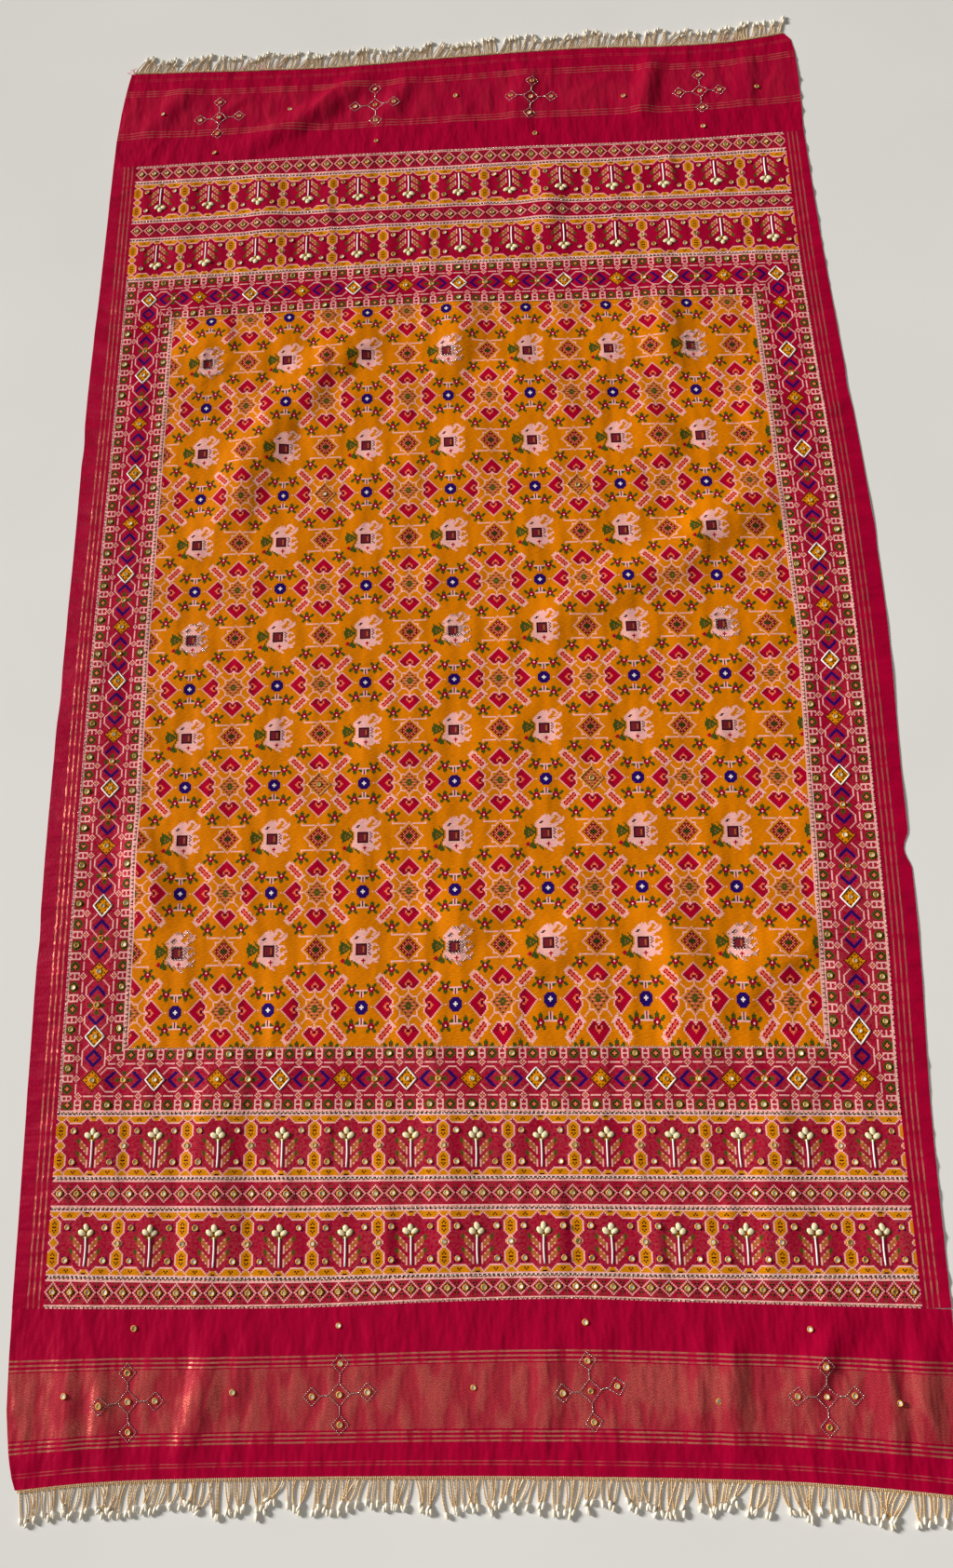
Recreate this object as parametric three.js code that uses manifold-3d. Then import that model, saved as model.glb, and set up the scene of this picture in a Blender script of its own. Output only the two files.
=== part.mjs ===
// A patola dupatta laid flat on the floor, in millimetres, +Z up.
// The origin is on the floor under the middle of the whole piece. +Y runs along the length, to the far end.
// Five cloth pieces meet edge to edge: the woven panel, a strip down each side and a plain panel at each end.
// Each end carries a beaded header with its fringe of strung drops.

import * as THREE from 'three';
import { mergeVertices } from 'three/addons/utils/BufferGeometryUtils.js';
import Module from 'manifold-3d';

const wasm = await Module();
wasm.setup();

// Driving dimensions

const wall = 1.6; // lined silk with its embroidery backing
const seamGap = 0.3; // clear line between two pieces
const seamNear = -855; // middle height of the near seam line
const seamFar = 858; // middle height of the far seam line

const panelColumns = 24;
const panelRows = 38;
const stripColumns = 2;
const stripRows = 48;
const endColumns = 64;

const header = { width: 3, height: 2.4, pieces: 44 };
const headerSpan = { near: [-538, 529], far: [-543, 528] }; // from x to x
const strands = { count: 90, sides: 3, threadRadius: 1.1, dropRadius: 2.1, inset: 14, floorGap: 0.4 };
const landing = 0.62; // share of a strand's length at which it comes down to the floor
const strandLength = { near: 33.8, far: 31 }; // middle length, root to tip
const strandDrift = { near: -0.06, far: 0.32 }; // how far all the strands of an end lean, in radians

// Waves along the header in how strands lean (radians) and in how long they are
const leanWaves = [
  { size: 0.1, turn: 31, start: 0 },
  { size: 0.06, turn: 77, start: 1 },
];
const lengthWaves = [
  { size: 3, turn: 53, start: 2 },
  { size: 2, turn: 127, start: 0 },
];

const weldDistance = 1e-4; // points nearer than this are one

// How far out each side edge lies, at stations along the length
const sideEdges = [
  { y: 860, stripLeft: -562.5, panelLeft: -524.2, panelRight: 511.2, stripRight: 541.8 },
  { y: 640, stripLeft: -566.5, panelLeft: -525.6, panelRight: 513.6, stripRight: 548.5 },
  { y: 430, stripLeft: -571.0, panelLeft: -527.0, panelRight: 520.5, stripRight: 558.5 },
  { y: 215, stripLeft: -570.5, panelLeft: -529.4, panelRight: 528.8, stripRight: 569.3 },
  { y: 0, stripLeft: -571.5, panelLeft: -532.0, panelRight: 531.0, stripRight: 572.6 },
  { y: -215, stripLeft: -572.6, panelLeft: -531.5, panelRight: 527.8, stripRight: 565.4 },
  { y: -430, stripLeft: -570.5, panelLeft: -529.0, panelRight: 522.6, stripRight: 561.0 },
  { y: -640, stripLeft: -566.5, panelLeft: -526.5, panelRight: 513.2, stripRight: 549.0 },
  { y: -860, stripLeft: -562.2, panelLeft: -524.0, panelRight: 511.0, stripRight: 543.7 },
];

// Pulled-in or pushed-out places along the strips' outer edges
const edgeKinks = [
  { side: 'right', y: -318, reach: 26, shift: -7.5 },
  { side: 'right', y: 148, reach: 34, shift: 1.5 },
  { side: 'right', y: 380, reach: 40, shift: -2.0 },
  { side: 'left', y: 345, reach: 38, shift: 1.6 },
  { side: 'left', y: -60, reach: 46, shift: 1.2 },
  { side: 'left', y: -400, reach: 40, shift: 1.4 },
];

// Lines across the width: the two seams and the two ends, which sag towards the middle
const crossLines = [
  { x: -565, farEnd: 1058.0, farSeam: 862.3, nearSeam: -850.0, nearEnd: -1047.0 },
  { x: -450, farEnd: 1052.6, farSeam: 862.8, nearSeam: -852.0, nearEnd: -1037.0 },
  { x: -340, farEnd: 1047.3, farSeam: 863.0, nearSeam: -853.5, nearEnd: -1033.8 },
  { x: -200, farEnd: 1042.9, farSeam: 861.5, nearSeam: -853.5, nearEnd: -1032.7 },
  { x: -60, farEnd: 1046.2, farSeam: 859.5, nearSeam: -849.8, nearEnd: -1032.9 },
  { x: 100, farEnd: 1048.8, farSeam: 856.0, nearSeam: -848.2, nearEnd: -1034.6 },
  { x: 225, farEnd: 1047.8, farSeam: 852.0, nearSeam: -853.0, nearEnd: -1037.2 },
  { x: 345, farEnd: 1041.0, farSeam: 850.2, nearSeam: -857.8, nearEnd: -1041.3 },
  { x: 450, farEnd: 1042.0, farSeam: 851.2, nearSeam: -862.0, nearEnd: -1049.0 },
  { x: 565, farEnd: 1058.0, farSeam: 852.6, nearSeam: -866.5, nearEnd: -1061.0 },
];

// Side edges of the two end panels, by share of the way from the seam to the end
const endSides = [
  { along: 0, farLeft: -562.5, farRight: 541.8, nearLeft: -562.2, nearRight: 543.7 },
  { along: 0.28, farLeft: -561.0, farRight: 544.0, nearLeft: -561.0, nearRight: 542.8 },
  { along: 0.56, farLeft: -557.0, farRight: 544.4, nearLeft: -558.4, nearRight: 541.2 },
  { along: 0.8, farLeft: -551.5, farRight: 543.6, nearLeft: -551.6, nearRight: 538.4 },
  { along: 0.93, farLeft: -547.5, farRight: 539.6, nearLeft: -545.6, nearRight: 535.6 },
  { along: 1, farLeft: -545.0, farRight: 530.0, nearLeft: -540.3, nearRight: 531.0 },
];

// Soft folds. A crest runs from one point to another and bows sideways by bow at its middle.
const folds = [
  { name: 'long fold, upper', fromX: -115, fromY: 530, toX: -262, toY: 405, bow: 12, halfWidth: 50, rise: 7 },
  { name: 'long fold, lower', fromX: -240, fromY: 450, toX: -362, toY: 150, bow: 14, halfWidth: 52, rise: 8.5 },
  { name: 'upper left pucker', fromX: -350, fromY: 545, toX: -438, toY: 462, bow: 0, halfWidth: 46, rise: 4 },
  { name: 'top middle pull', fromX: -8, fromY: 600, toX: -24, toY: 425, bow: -12, halfWidth: 46, rise: 6.5 },
  { name: 'middle ripple', fromX: 10, fromY: 385, toX: 14, toY: 275, bow: 0, halfWidth: 44, rise: 3 },
  { name: 'top right pull', fromX: 282, fromY: 590, toX: 298, toY: 390, bow: -14, halfWidth: 48, rise: 6.5 },
  { name: 'slanting pucker', fromX: 30, fromY: 472, toX: 215, toY: 345, bow: 8, halfWidth: 46, rise: 5 },
  { name: 'short slant', fromX: 238, fromY: 372, toX: 300, toY: 268, bow: -10, halfWidth: 46, rise: 5 },
  { name: 'right fold, outer', fromX: 448, fromY: 216, toX: 270, toY: 100, bow: 8, halfWidth: 52, rise: 8.5 },
  { name: 'right fold, inner', fromX: 310, fromY: 120, toX: 104, toY: 48, bow: -8, halfWidth: 50, rise: 6.5 },
  { name: 'crosswise crease', fromX: 30, fromY: 18, toX: 200, toY: 36, bow: 0, halfWidth: 40, rise: 3 },
  { name: 'right edge pull', fromX: 418, fromY: 392, toX: 456, toY: 276, bow: 0, halfWidth: 44, rise: 5 },
  { name: 'left edge pull', fromX: -450, fromY: -236, toX: -398, toY: -392, bow: 12, halfWidth: 46, rise: 7 },
  { name: 'near middle pucker', fromX: -52, fromY: -352, toX: 14, toY: -424, bow: 0, halfWidth: 44, rise: 5 },
  { name: 'near slant', fromX: 6, fromY: -462, toX: 196, toY: -416, bow: -6, halfWidth: 46, rise: 5 },
  { name: 'near right wave', fromX: 236, fromY: -320, toX: 272, toY: -610, bow: -10, halfWidth: 48, rise: 6.5 },
  { name: 'near right slant', fromX: 462, fromY: -400, toX: 288, toY: -526, bow: 8, halfWidth: 48, rise: 6 },
  { name: 'middle crease', fromX: -200, fromY: -141, toX: 110, toY: -156, bow: 0, halfWidth: 38, rise: 2.5 },
  { name: 'band wave, left', fromX: -318, fromY: -510, toX: -324, toY: -846, bow: 5, halfWidth: 46, rise: 4 },
  { name: 'band wave, middle', fromX: -40, fromY: -556, toX: -32, toY: -846, bow: -5, halfWidth: 46, rise: 4 },
  { name: 'band wave, right', fromX: 372, fromY: -560, toX: 356, toY: -846, bow: 6, halfWidth: 46, rise: 4.5 },
  { name: 'band wave, far left', fromX: -300, fromY: 640, toX: -330, toY: 846, bow: 8, halfWidth: 46, rise: 4 },
  { name: 'band wave, far right', fromX: 120, fromY: 650, toX: 160, toY: 842, bow: -8, halfWidth: 46, rise: 4 },
  { name: 'near ripple 1', fromX: -498, fromY: -872, toX: -486, toY: -1036, bow: -5, halfWidth: 25, rise: 5.5 },
  { name: 'near ripple 2', fromX: -466, fromY: -880, toX: -436, toY: -1036, bow: -4, halfWidth: 22, rise: 4.5 },
  { name: 'near ripple 3', fromX: -318, fromY: -868, toX: -350, toY: -1026, bow: -5, halfWidth: 26, rise: 6 },
  { name: 'near ripple 4', fromX: -276, fromY: -876, toX: -292, toY: -972, bow: 0, halfWidth: 22, rise: 3 },
  { name: 'near ripple 5', fromX: 80, fromY: -872, toX: 74, toY: -1010, bow: 3, halfWidth: 26, rise: 3 },
  { name: 'near ripple 6', fromX: 256, fromY: -880, toX: 250, toY: -1024, bow: 4, halfWidth: 22, rise: 4 },
  { name: 'near ripple 7', fromX: 298, fromY: -876, toX: 290, toY: -1034, bow: 9, halfWidth: 24, rise: 6 },
  { name: 'near slanting ripple', fromX: 432, fromY: -866, toX: 362, toY: -968, bow: 4, halfWidth: 26, rise: 5 },
  { name: 'near ripple 8', fromX: 462, fromY: -884, toX: 470, toY: -1038, bow: 4, halfWidth: 24, rise: 5 },
  { name: 'near ripple 9', fromX: 506, fromY: -880, toX: 502, toY: -1030, bow: 2, halfWidth: 22, rise: 5 },
  { name: 'far slant, long', fromX: -136, fromY: 1034, toX: -380, toY: 876, bow: -14, halfWidth: 32, rise: 7 },
  { name: 'far slant, corner', fromX: -436, fromY: 1040, toX: -530, toY: 912, bow: -6, halfWidth: 30, rise: 5 },
  { name: 'far pull', fromX: 326, fromY: 1036, toX: 288, toY: 872, bow: 6, halfWidth: 28, rise: 6.5 },
  { name: 'far short slant', fromX: -66, fromY: 1030, toX: -126, toY: 906, bow: 6, halfWidth: 28, rise: 4 },
  { name: 'far right ripple', fromX: 470, fromY: 1024, toX: 456, toY: 890, bow: 5, halfWidth: 28, rise: 4 },
  { name: 'far middle ripple', fromX: 118, fromY: 1030, toX: 92, toY: 884, bow: 6, halfWidth: 28, rise: 4.5 },
];

// Numbers along a curve

function mix(a, b, share) {
  return a + (b - a) * share;
}

// A smooth curve through one column of a table, read at a place along its key column
function through(rows, key, column, at) {
  const climbing = rows[rows.length - 1][key] > rows[0][key];
  const last = rows.length - 2;
  let i = rows.findIndex((row, n) => n > 0 && (climbing ? at <= row[key] : at >= row[key])) - 1;
  i = i < 0 ? (climbing === at > rows[0][key] ? last : 0) : i;
  const slope = (n) => {
    const before = rows[Math.max(n - 1, 0)];
    const after = rows[Math.min(n + 1, last + 1)];
    return (after[column] - before[column]) / (after[key] - before[key]);
  };
  const step = rows[i + 1][key] - rows[i][key];
  const t = Math.min(Math.max((at - rows[i][key]) / step, 0), 1);
  const t2 = t * t;
  const t3 = t2 * t;
  return (2 * t3 - 3 * t2 + 1) * rows[i][column] + (t3 - 2 * t2 + t) * step * slope(i)
    + (3 * t2 - 2 * t3) * rows[i + 1][column] + (t3 - t2) * step * slope(i + 1);
}

// A rounded bump that is exactly nothing at and past 1
function bump(distance) {
  return Math.abs(distance) < 1 ? (1 - distance * distance) ** 2 : 0;
}

function kinkAt(side, y) {
  return edgeKinks
    .filter((kink) => kink.side === side)
    .reduce((sum, kink) => sum + kink.shift * bump((y - kink.y) / kink.reach), 0);
}

// Height of the cloth's underside above the floor: nothing where it rests
function riseAt(x, y) {
  return folds.reduce((sum, fold) => {
    const length = Math.hypot(fold.toX - fold.fromX, fold.toY - fold.fromY);
    const alongX = (fold.toX - fold.fromX) / length;
    const alongY = (fold.toY - fold.fromY) / length;
    const along = ((x - fold.fromX) * alongX + (y - fold.fromY) * alongY) / length;
    const bowed = 4 * fold.bow * along * (1 - along);
    const aside = (x - fold.fromX) * alongY - (y - fold.fromY) * alongX - bowed;
    return sum + fold.rise * bump(aside / fold.halfWidth) * bump(2 * along - 1) ** 0.5;
  }, 0);
}

// Cloth walls

// A wall over a grid of places, of even thickness, closed all round
function clothWall(columns, rows, placeAt) {
  const positions = [];
  const indices = [];
  const layer = (columns + 1) * (rows + 1);
  for (const lift of [0, wall]) {
    for (let j = 0; j <= rows; j += 1) {
      for (let i = 0; i <= columns; i += 1) {
        const [x, y] = placeAt(i / columns, j / rows);
        positions.push(x, y, riseAt(x, y) + lift);
      }
    }
  }
  const at = (i, j) => j * (columns + 1) + i;
  const quad = (a, b, c, d) => indices.push(a, b, c, a, c, d);
  for (let j = 0; j < rows; j += 1) {
    for (let i = 0; i < columns; i += 1) {
      const [a, b, c, d] = [at(i, j), at(i + 1, j), at(i + 1, j + 1), at(i, j + 1)];
      quad(a + layer, b + layer, c + layer, d + layer);
      quad(a, d, c, b);
    }
  }
  for (let i = 0; i < columns; i += 1) {
    quad(at(i, 0), at(i + 1, 0), at(i + 1, 0) + layer, at(i, 0) + layer);
    quad(at(i + 1, rows), at(i, rows), at(i, rows) + layer, at(i + 1, rows) + layer);
  }
  for (let j = 0; j < rows; j += 1) {
    quad(at(0, j + 1), at(0, j), at(0, j) + layer, at(0, j + 1) + layer);
    quad(at(columns, j), at(columns, j + 1), at(columns, j + 1) + layer, at(columns, j) + layer);
  }
  const geometry = new THREE.BufferGeometry();
  geometry.setAttribute('position', new THREE.Float32BufferAttribute(positions, 3));
  geometry.setIndex(indices);
  geometry.computeVertexNormals();
  return geometry;
}

// A place between two side edges and the two seams, kept clear of what it is sewn to
function betweenSeams(leftEdge, rightEdge, across, along) {
  const station = mix(seamNear, seamFar, along);
  const x = mix(leftEdge(station), rightEdge(station), across);
  const near = through(crossLines, 'x', 'nearSeam', x) + seamGap / 2;
  const far = through(crossLines, 'x', 'farSeam', x) - seamGap / 2;
  return [x, mix(near, far, along)];
}

function edge(column) {
  return (y) => through(sideEdges, 'y', column, y);
}

function wovenPanel() {
  const left = edge('panelLeft');
  const right = edge('panelRight');
  return clothWall(panelColumns, panelRows, (across, along) => betweenSeams(left, right, across, along));
}

function sideStrip(side) {
  const outline = edge(side === 'left' ? 'stripLeft' : 'stripRight');
  const joined = edge(side === 'left' ? 'panelLeft' : 'panelRight');
  const outer = (y) => outline(y) + kinkAt(side, y);
  const inner = (y) => joined(y) + (side === 'left' ? -seamGap : seamGap);
  const [left, right] = side === 'left' ? [outer, inner] : [inner, outer];
  return clothWall(stripColumns, stripRows, (across, along) => betweenSeams(left, right, across, along));
}

// The end panels' rows are the stations of their side edges
function endPanel(end) {
  const rows = endSides.length - 1;
  const outward = end === 'far' ? 1 : -1;
  return clothWall(endColumns, rows, (across, step) => {
    const row = Math.round(step * rows);
    const sides = endSides[end === 'far' ? row : rows - row];
    const x = mix(sides[`${end}Left`], sides[`${end}Right`], across);
    const seam = through(crossLines, 'x', `${end}Seam`, x) + (outward * seamGap) / 2;
    return [x, mix(seam, through(crossLines, 'x', `${end}End`, x), sides.along)];
  });
}

// Fringe

function toManifold(geometry) {
  const plain = geometry.clone();
  plain.deleteAttribute('normal');
  plain.deleteAttribute('uv');
  const merged = mergeVertices(plain, weldDistance);
  return new wasm.Manifold(new wasm.Mesh({
    numProp: 3,
    vertProperties: new Float32Array(merged.attributes.position.array),
    triVerts: new Uint32Array(merged.index.array),
  }));
}

function fromManifold(solid) {
  const mesh = solid.getMesh();
  const geometry = new THREE.BufferGeometry();
  geometry.setAttribute('position', new THREE.Float32BufferAttribute(mesh.vertProperties, 3));
  geometry.setIndex(Array.from(mesh.triVerts));
  geometry.computeVertexNormals();
  return geometry;
}

// A closed skin over rings of equal size, from the first ring to the last
function loft(rings) {
  const count = rings[0].length;
  const indices = [];
  for (let ring = 0; ring + 1 < rings.length; ring += 1) {
    for (let i = 0; i < count; i += 1) {
      const a = ring * count + i;
      const b = ring * count + ((i + 1) % count);
      indices.push(a, b, b + count, a, b + count, a + count);
    }
  }
  const lastRing = (rings.length - 1) * count;
  for (let i = 1; i + 1 < count; i += 1) {
    indices.push(0, i + 1, i);
    indices.push(lastRing, lastRing + i, lastRing + i + 1);
  }
  const geometry = new THREE.BufferGeometry();
  geometry.setAttribute('position', new THREE.Float32BufferAttribute(rings.flat(2), 3));
  geometry.setIndex(indices);
  return geometry;
}

// The header lies just outside the end panel's edge and follows its sag and its folds
function headerStrip(end, fromX, toX) {
  const outward = end === 'far' ? 1 : -1;
  const rings = [];
  for (let i = 0; i <= header.pieces; i += 1) {
    const x = mix(fromX, toX, i / header.pieces);
    const y = through(crossLines, 'x', `${end}End`, x) + outward * seamGap;
    const low = riseAt(x, y);
    const ring = [[x, y, low], [x, y + outward * header.width, low],
      [x, y + outward * header.width, low + header.height], [x, y, low + header.height]];
    rings.push(outward > 0 ? ring : ring.reverse());
  }
  return loft(rings);
}

// One strand: a thin strung thread that swells to a drop, its root inside the header
function strand(end, x, lean, length) {
  const outward = end === 'far' ? 1 : -1;
  const rootY = through(crossLines, 'x', `${end}End`, x) + outward * (seamGap + header.width / 2);
  const direction = new THREE.Vector2(Math.sin(lean), outward * Math.cos(lean));
  const rootHeight = riseAt(x, rootY) + header.height / 2;
  const stations = [
    { reach: 0, radius: strands.threadRadius, height: rootHeight },
    { reach: length * landing, radius: strands.threadRadius, height: strands.threadRadius + strands.floorGap },
    { reach: length, radius: strands.dropRadius, height: strands.dropRadius + strands.floorGap },
  ];
  const rings = stations.map(({ reach, radius, height }) => {
    const ring = [];
    for (let i = 0; i < strands.sides; i += 1) {
      const turn = (2 * Math.PI * i) / strands.sides + Math.PI / 2;
      const aside = radius * Math.cos(turn);
      ring.push([
        x + direction.x * reach + direction.y * aside,
        rootY + direction.y * reach - direction.x * aside,
        height + radius * Math.sin(turn),
      ]);
    }
    return ring.reverse();
  });
  return loft(rings);
}

function waveAt(waves, share) {
  return waves.reduce((sum, wave) => sum + wave.size * Math.sin(wave.turn * share + wave.start), 0);
}

// Leans and lengths change smoothly along the header, so that strands gather in clumps without crossing
function fringe(end) {
  const [fromX, toX] = headerSpan[end];
  let solid = toManifold(headerStrip(end, fromX, toX));
  for (let i = 0; i < strands.count; i += 1) {
    const share = i / (strands.count - 1);
    const x = mix(fromX + strands.inset, toX - strands.inset, share);
    const lean = strandDrift[end] + waveAt(leanWaves, share);
    const length = strandLength[end] + waveAt(lengthWaves, share);
    solid = solid.add(toManifold(strand(end, x, lean, length)));
  }
  return fromManifold(solid);
}

// The whole dupatta

const looks = {
  woven: { color: 0xc87a12, roughness: 0.55, metalness: 0 },
  crimson: { color: 0xa0002d, roughness: 0.5, metalness: 0 },
  beads: { color: 0xc9b07a, roughness: 0.35, metalness: 0.3 },
};

const group = new THREE.Group();

function addPiece(name, geometry, look) {
  const mesh = new THREE.Mesh(geometry, new THREE.MeshStandardMaterial(looks[look]));
  mesh.name = name;
  group.add(mesh);
}

addPiece('patola_panel', wovenPanel(), 'woven');
for (const side of ['left', 'right']) {
  addPiece(`side_strip_${side}`, sideStrip(side), 'crimson');
}
for (const end of ['near', 'far']) {
  addPiece(`end_panel_${end}`, endPanel(end), 'crimson');
  addPiece(`fringe_${end}`, fringe(end), 'beads');
}

export default group;
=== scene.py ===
# %% [markdown]
# A patola dupatta laid flat on the floor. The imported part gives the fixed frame: where each piece of
# cloth lies, in metres, +Z up. This lesson dresses it. Each solid gets a thin cloth shell with the same
# folds, a woven pattern that is worked out cell by cell, and the beads, mirrors and stitches that are
# sewn on top.
# %% Load the part
import math

import bpy
import numpy as np
from mathutils import Matrix, Vector


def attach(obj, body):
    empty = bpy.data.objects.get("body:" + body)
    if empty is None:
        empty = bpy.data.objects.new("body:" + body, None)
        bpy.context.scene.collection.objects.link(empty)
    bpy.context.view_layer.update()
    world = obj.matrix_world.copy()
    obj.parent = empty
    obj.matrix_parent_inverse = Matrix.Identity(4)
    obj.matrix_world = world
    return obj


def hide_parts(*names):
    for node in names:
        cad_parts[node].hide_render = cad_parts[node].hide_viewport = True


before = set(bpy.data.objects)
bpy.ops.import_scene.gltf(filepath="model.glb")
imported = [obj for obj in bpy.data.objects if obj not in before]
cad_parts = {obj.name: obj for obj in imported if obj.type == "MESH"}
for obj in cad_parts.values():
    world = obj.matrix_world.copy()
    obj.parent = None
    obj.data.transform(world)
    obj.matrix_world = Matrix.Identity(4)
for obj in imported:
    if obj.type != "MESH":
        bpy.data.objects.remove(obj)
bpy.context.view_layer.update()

MM = 0.001
rng = np.random.default_rng(17)
print("nodes:", sorted(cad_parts))

# %% [markdown]
# The camera stands near the close end of the cloth, a person's height up, and looks almost straight down.
# Its lens belongs to a phone: about 29 mm on a 36 mm long side. It is given by where it stands and by its
# own three axes.
# %% Camera
CAMERA_PLACE = Vector((97.4, -742.05, 1615.9)) * MM
CAMERA_RIGHT = Vector((0.99795, -0.01799, -0.06134))
CAMERA_UP = Vector((0.03627, 0.94957, 0.31145))
LENS = 29.32
SENSOR = 36

lens = bpy.data.cameras.new("camera")
lens.sensor_width = SENSOR
lens.sensor_fit = "AUTO"
lens.lens = LENS
camera = bpy.data.objects.new("camera", lens)
bpy.context.scene.collection.objects.link(camera)
right = CAMERA_RIGHT.normalized()
up = (CAMERA_UP - right * CAMERA_UP.dot(right)).normalized()
turn = Matrix((right, up, right.cross(up))).transposed()
camera.matrix_world = Matrix.Translation(CAMERA_PLACE) @ turn.to_4x4()
bpy.context.scene.camera = camera
print("camera height", round(CAMERA_PLACE.z, 3), "m")

# %% [markdown]
# The outline and the seams of the cloth are short tables, as in the part: a row for each station. A
# smooth curve runs through each column.
# %% Outline and seam tables (millimetres)
side_edges = np.array([
    # y, stripLeft, panelLeft, panelRight, stripRight
    (-860, -562.2, -524.0, 511.0, 543.7),
    (-640, -566.5, -526.5, 513.2, 549.0),
    (-430, -570.5, -529.0, 522.6, 561.0),
    (-215, -572.6, -531.5, 527.8, 565.4),
    (0, -571.5, -532.0, 531.0, 572.6),
    (215, -570.5, -529.4, 528.8, 569.3),
    (430, -571.0, -527.0, 520.5, 558.5),
    (640, -566.5, -525.6, 513.6, 548.5),
    (860, -562.5, -524.2, 511.2, 541.8),
])
STRIP_LEFT, PANEL_LEFT, PANEL_RIGHT, STRIP_RIGHT = 1, 2, 3, 4

cross_lines = np.array([
    # x, farEnd, farSeam, nearSeam, nearEnd
    (-565, 1058.0, 862.3, -850.0, -1047.0),
    (-450, 1052.6, 862.8, -852.0, -1037.0),
    (-340, 1047.3, 863.0, -853.5, -1033.8),
    (-200, 1042.9, 861.5, -853.5, -1032.7),
    (-60, 1046.2, 859.5, -849.8, -1032.9),
    (100, 1048.8, 856.0, -848.2, -1034.6),
    (225, 1047.8, 852.0, -853.0, -1037.2),
    (345, 1041.0, 850.2, -857.8, -1041.3),
    (450, 1042.0, 851.2, -862.0, -1049.0),
    (565, 1058.0, 852.6, -866.5, -1061.0),
])
FAR_END, FAR_SEAM, NEAR_SEAM, NEAR_END = 1, 2, 3, 4

edge_kinks = [
    # right side, y, reach, shift
    (True, -318, 26, -7.5), (True, 148, 34, 1.5), (True, 380, 40, -2.0),
    (False, 345, 38, 1.6), (False, -60, 46, 1.2), (False, -400, 40, 1.4),
]

end_sides = np.array([
    # along, farLeft, farRight, nearLeft, nearRight
    (0.00, -562.5, 541.8, -562.2, 543.7),
    (0.28, -561.0, 544.0, -561.0, 542.8),
    (0.56, -557.0, 544.4, -558.4, 541.2),
    (0.80, -551.5, 543.6, -551.6, 538.4),
    (0.93, -547.5, 539.6, -545.6, 535.6),
    (1.00, -545.0, 530.0, -540.3, 531.0),
])

# %% [markdown]
# One curve rule serves all tables: it passes through each value, and its slope there is the slope between
# the two neighbours. A rounded bump is the other basic shape. Folds, kinks and creases are all made with
# it.
# %% Curves through a table


def hermite(key, values, at):
    """A smooth curve through values at the stations of key. A value may be an array of at's shape."""
    at = np.clip(np.asarray(at, float), key[0], key[-1])
    values = np.asarray(values, float)
    n = np.arange(len(key))
    before = np.maximum(n - 1, 0)
    after = np.minimum(n + 1, len(key) - 1)
    i = np.clip(np.searchsorted(key, at) - 1, 0, len(key) - 2)
    step = key[i + 1] - key[i]
    t = (at - key[i]) / step

    def value_at(k):
        return values[k] if values.ndim == 1 else values[(k, *np.indices(at.shape))]

    def slope_at(k):
        return (value_at(after[k]) - value_at(before[k])) / (key[after[k]] - key[before[k]])

    return ((2 * t**3 - 3 * t**2 + 1) * value_at(i) + (t**3 - 2 * t**2 + t) * step * slope_at(i)
            + (3 * t**2 - 2 * t**3) * value_at(i + 1) + (t**3 - t**2) * step * slope_at(i + 1))


def through(table, column, at):
    return hermite(table[:, 0], table[:, column], at)


def bump(distance):
    """A rounded bump, nothing at and past 1."""
    return np.where(np.abs(distance) < 1, (1 - distance**2) ** 2, 0.0)


def kink_at(right_side, y):
    return sum(shift * bump((y - at) / reach) for side, at, reach, shift in edge_kinks if side == right_side)


middle_width = through(side_edges, STRIP_RIGHT, 0) - through(side_edges, STRIP_LEFT, 0)
print("width at the middle", round(float(middle_width), 1), "mm")

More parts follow.
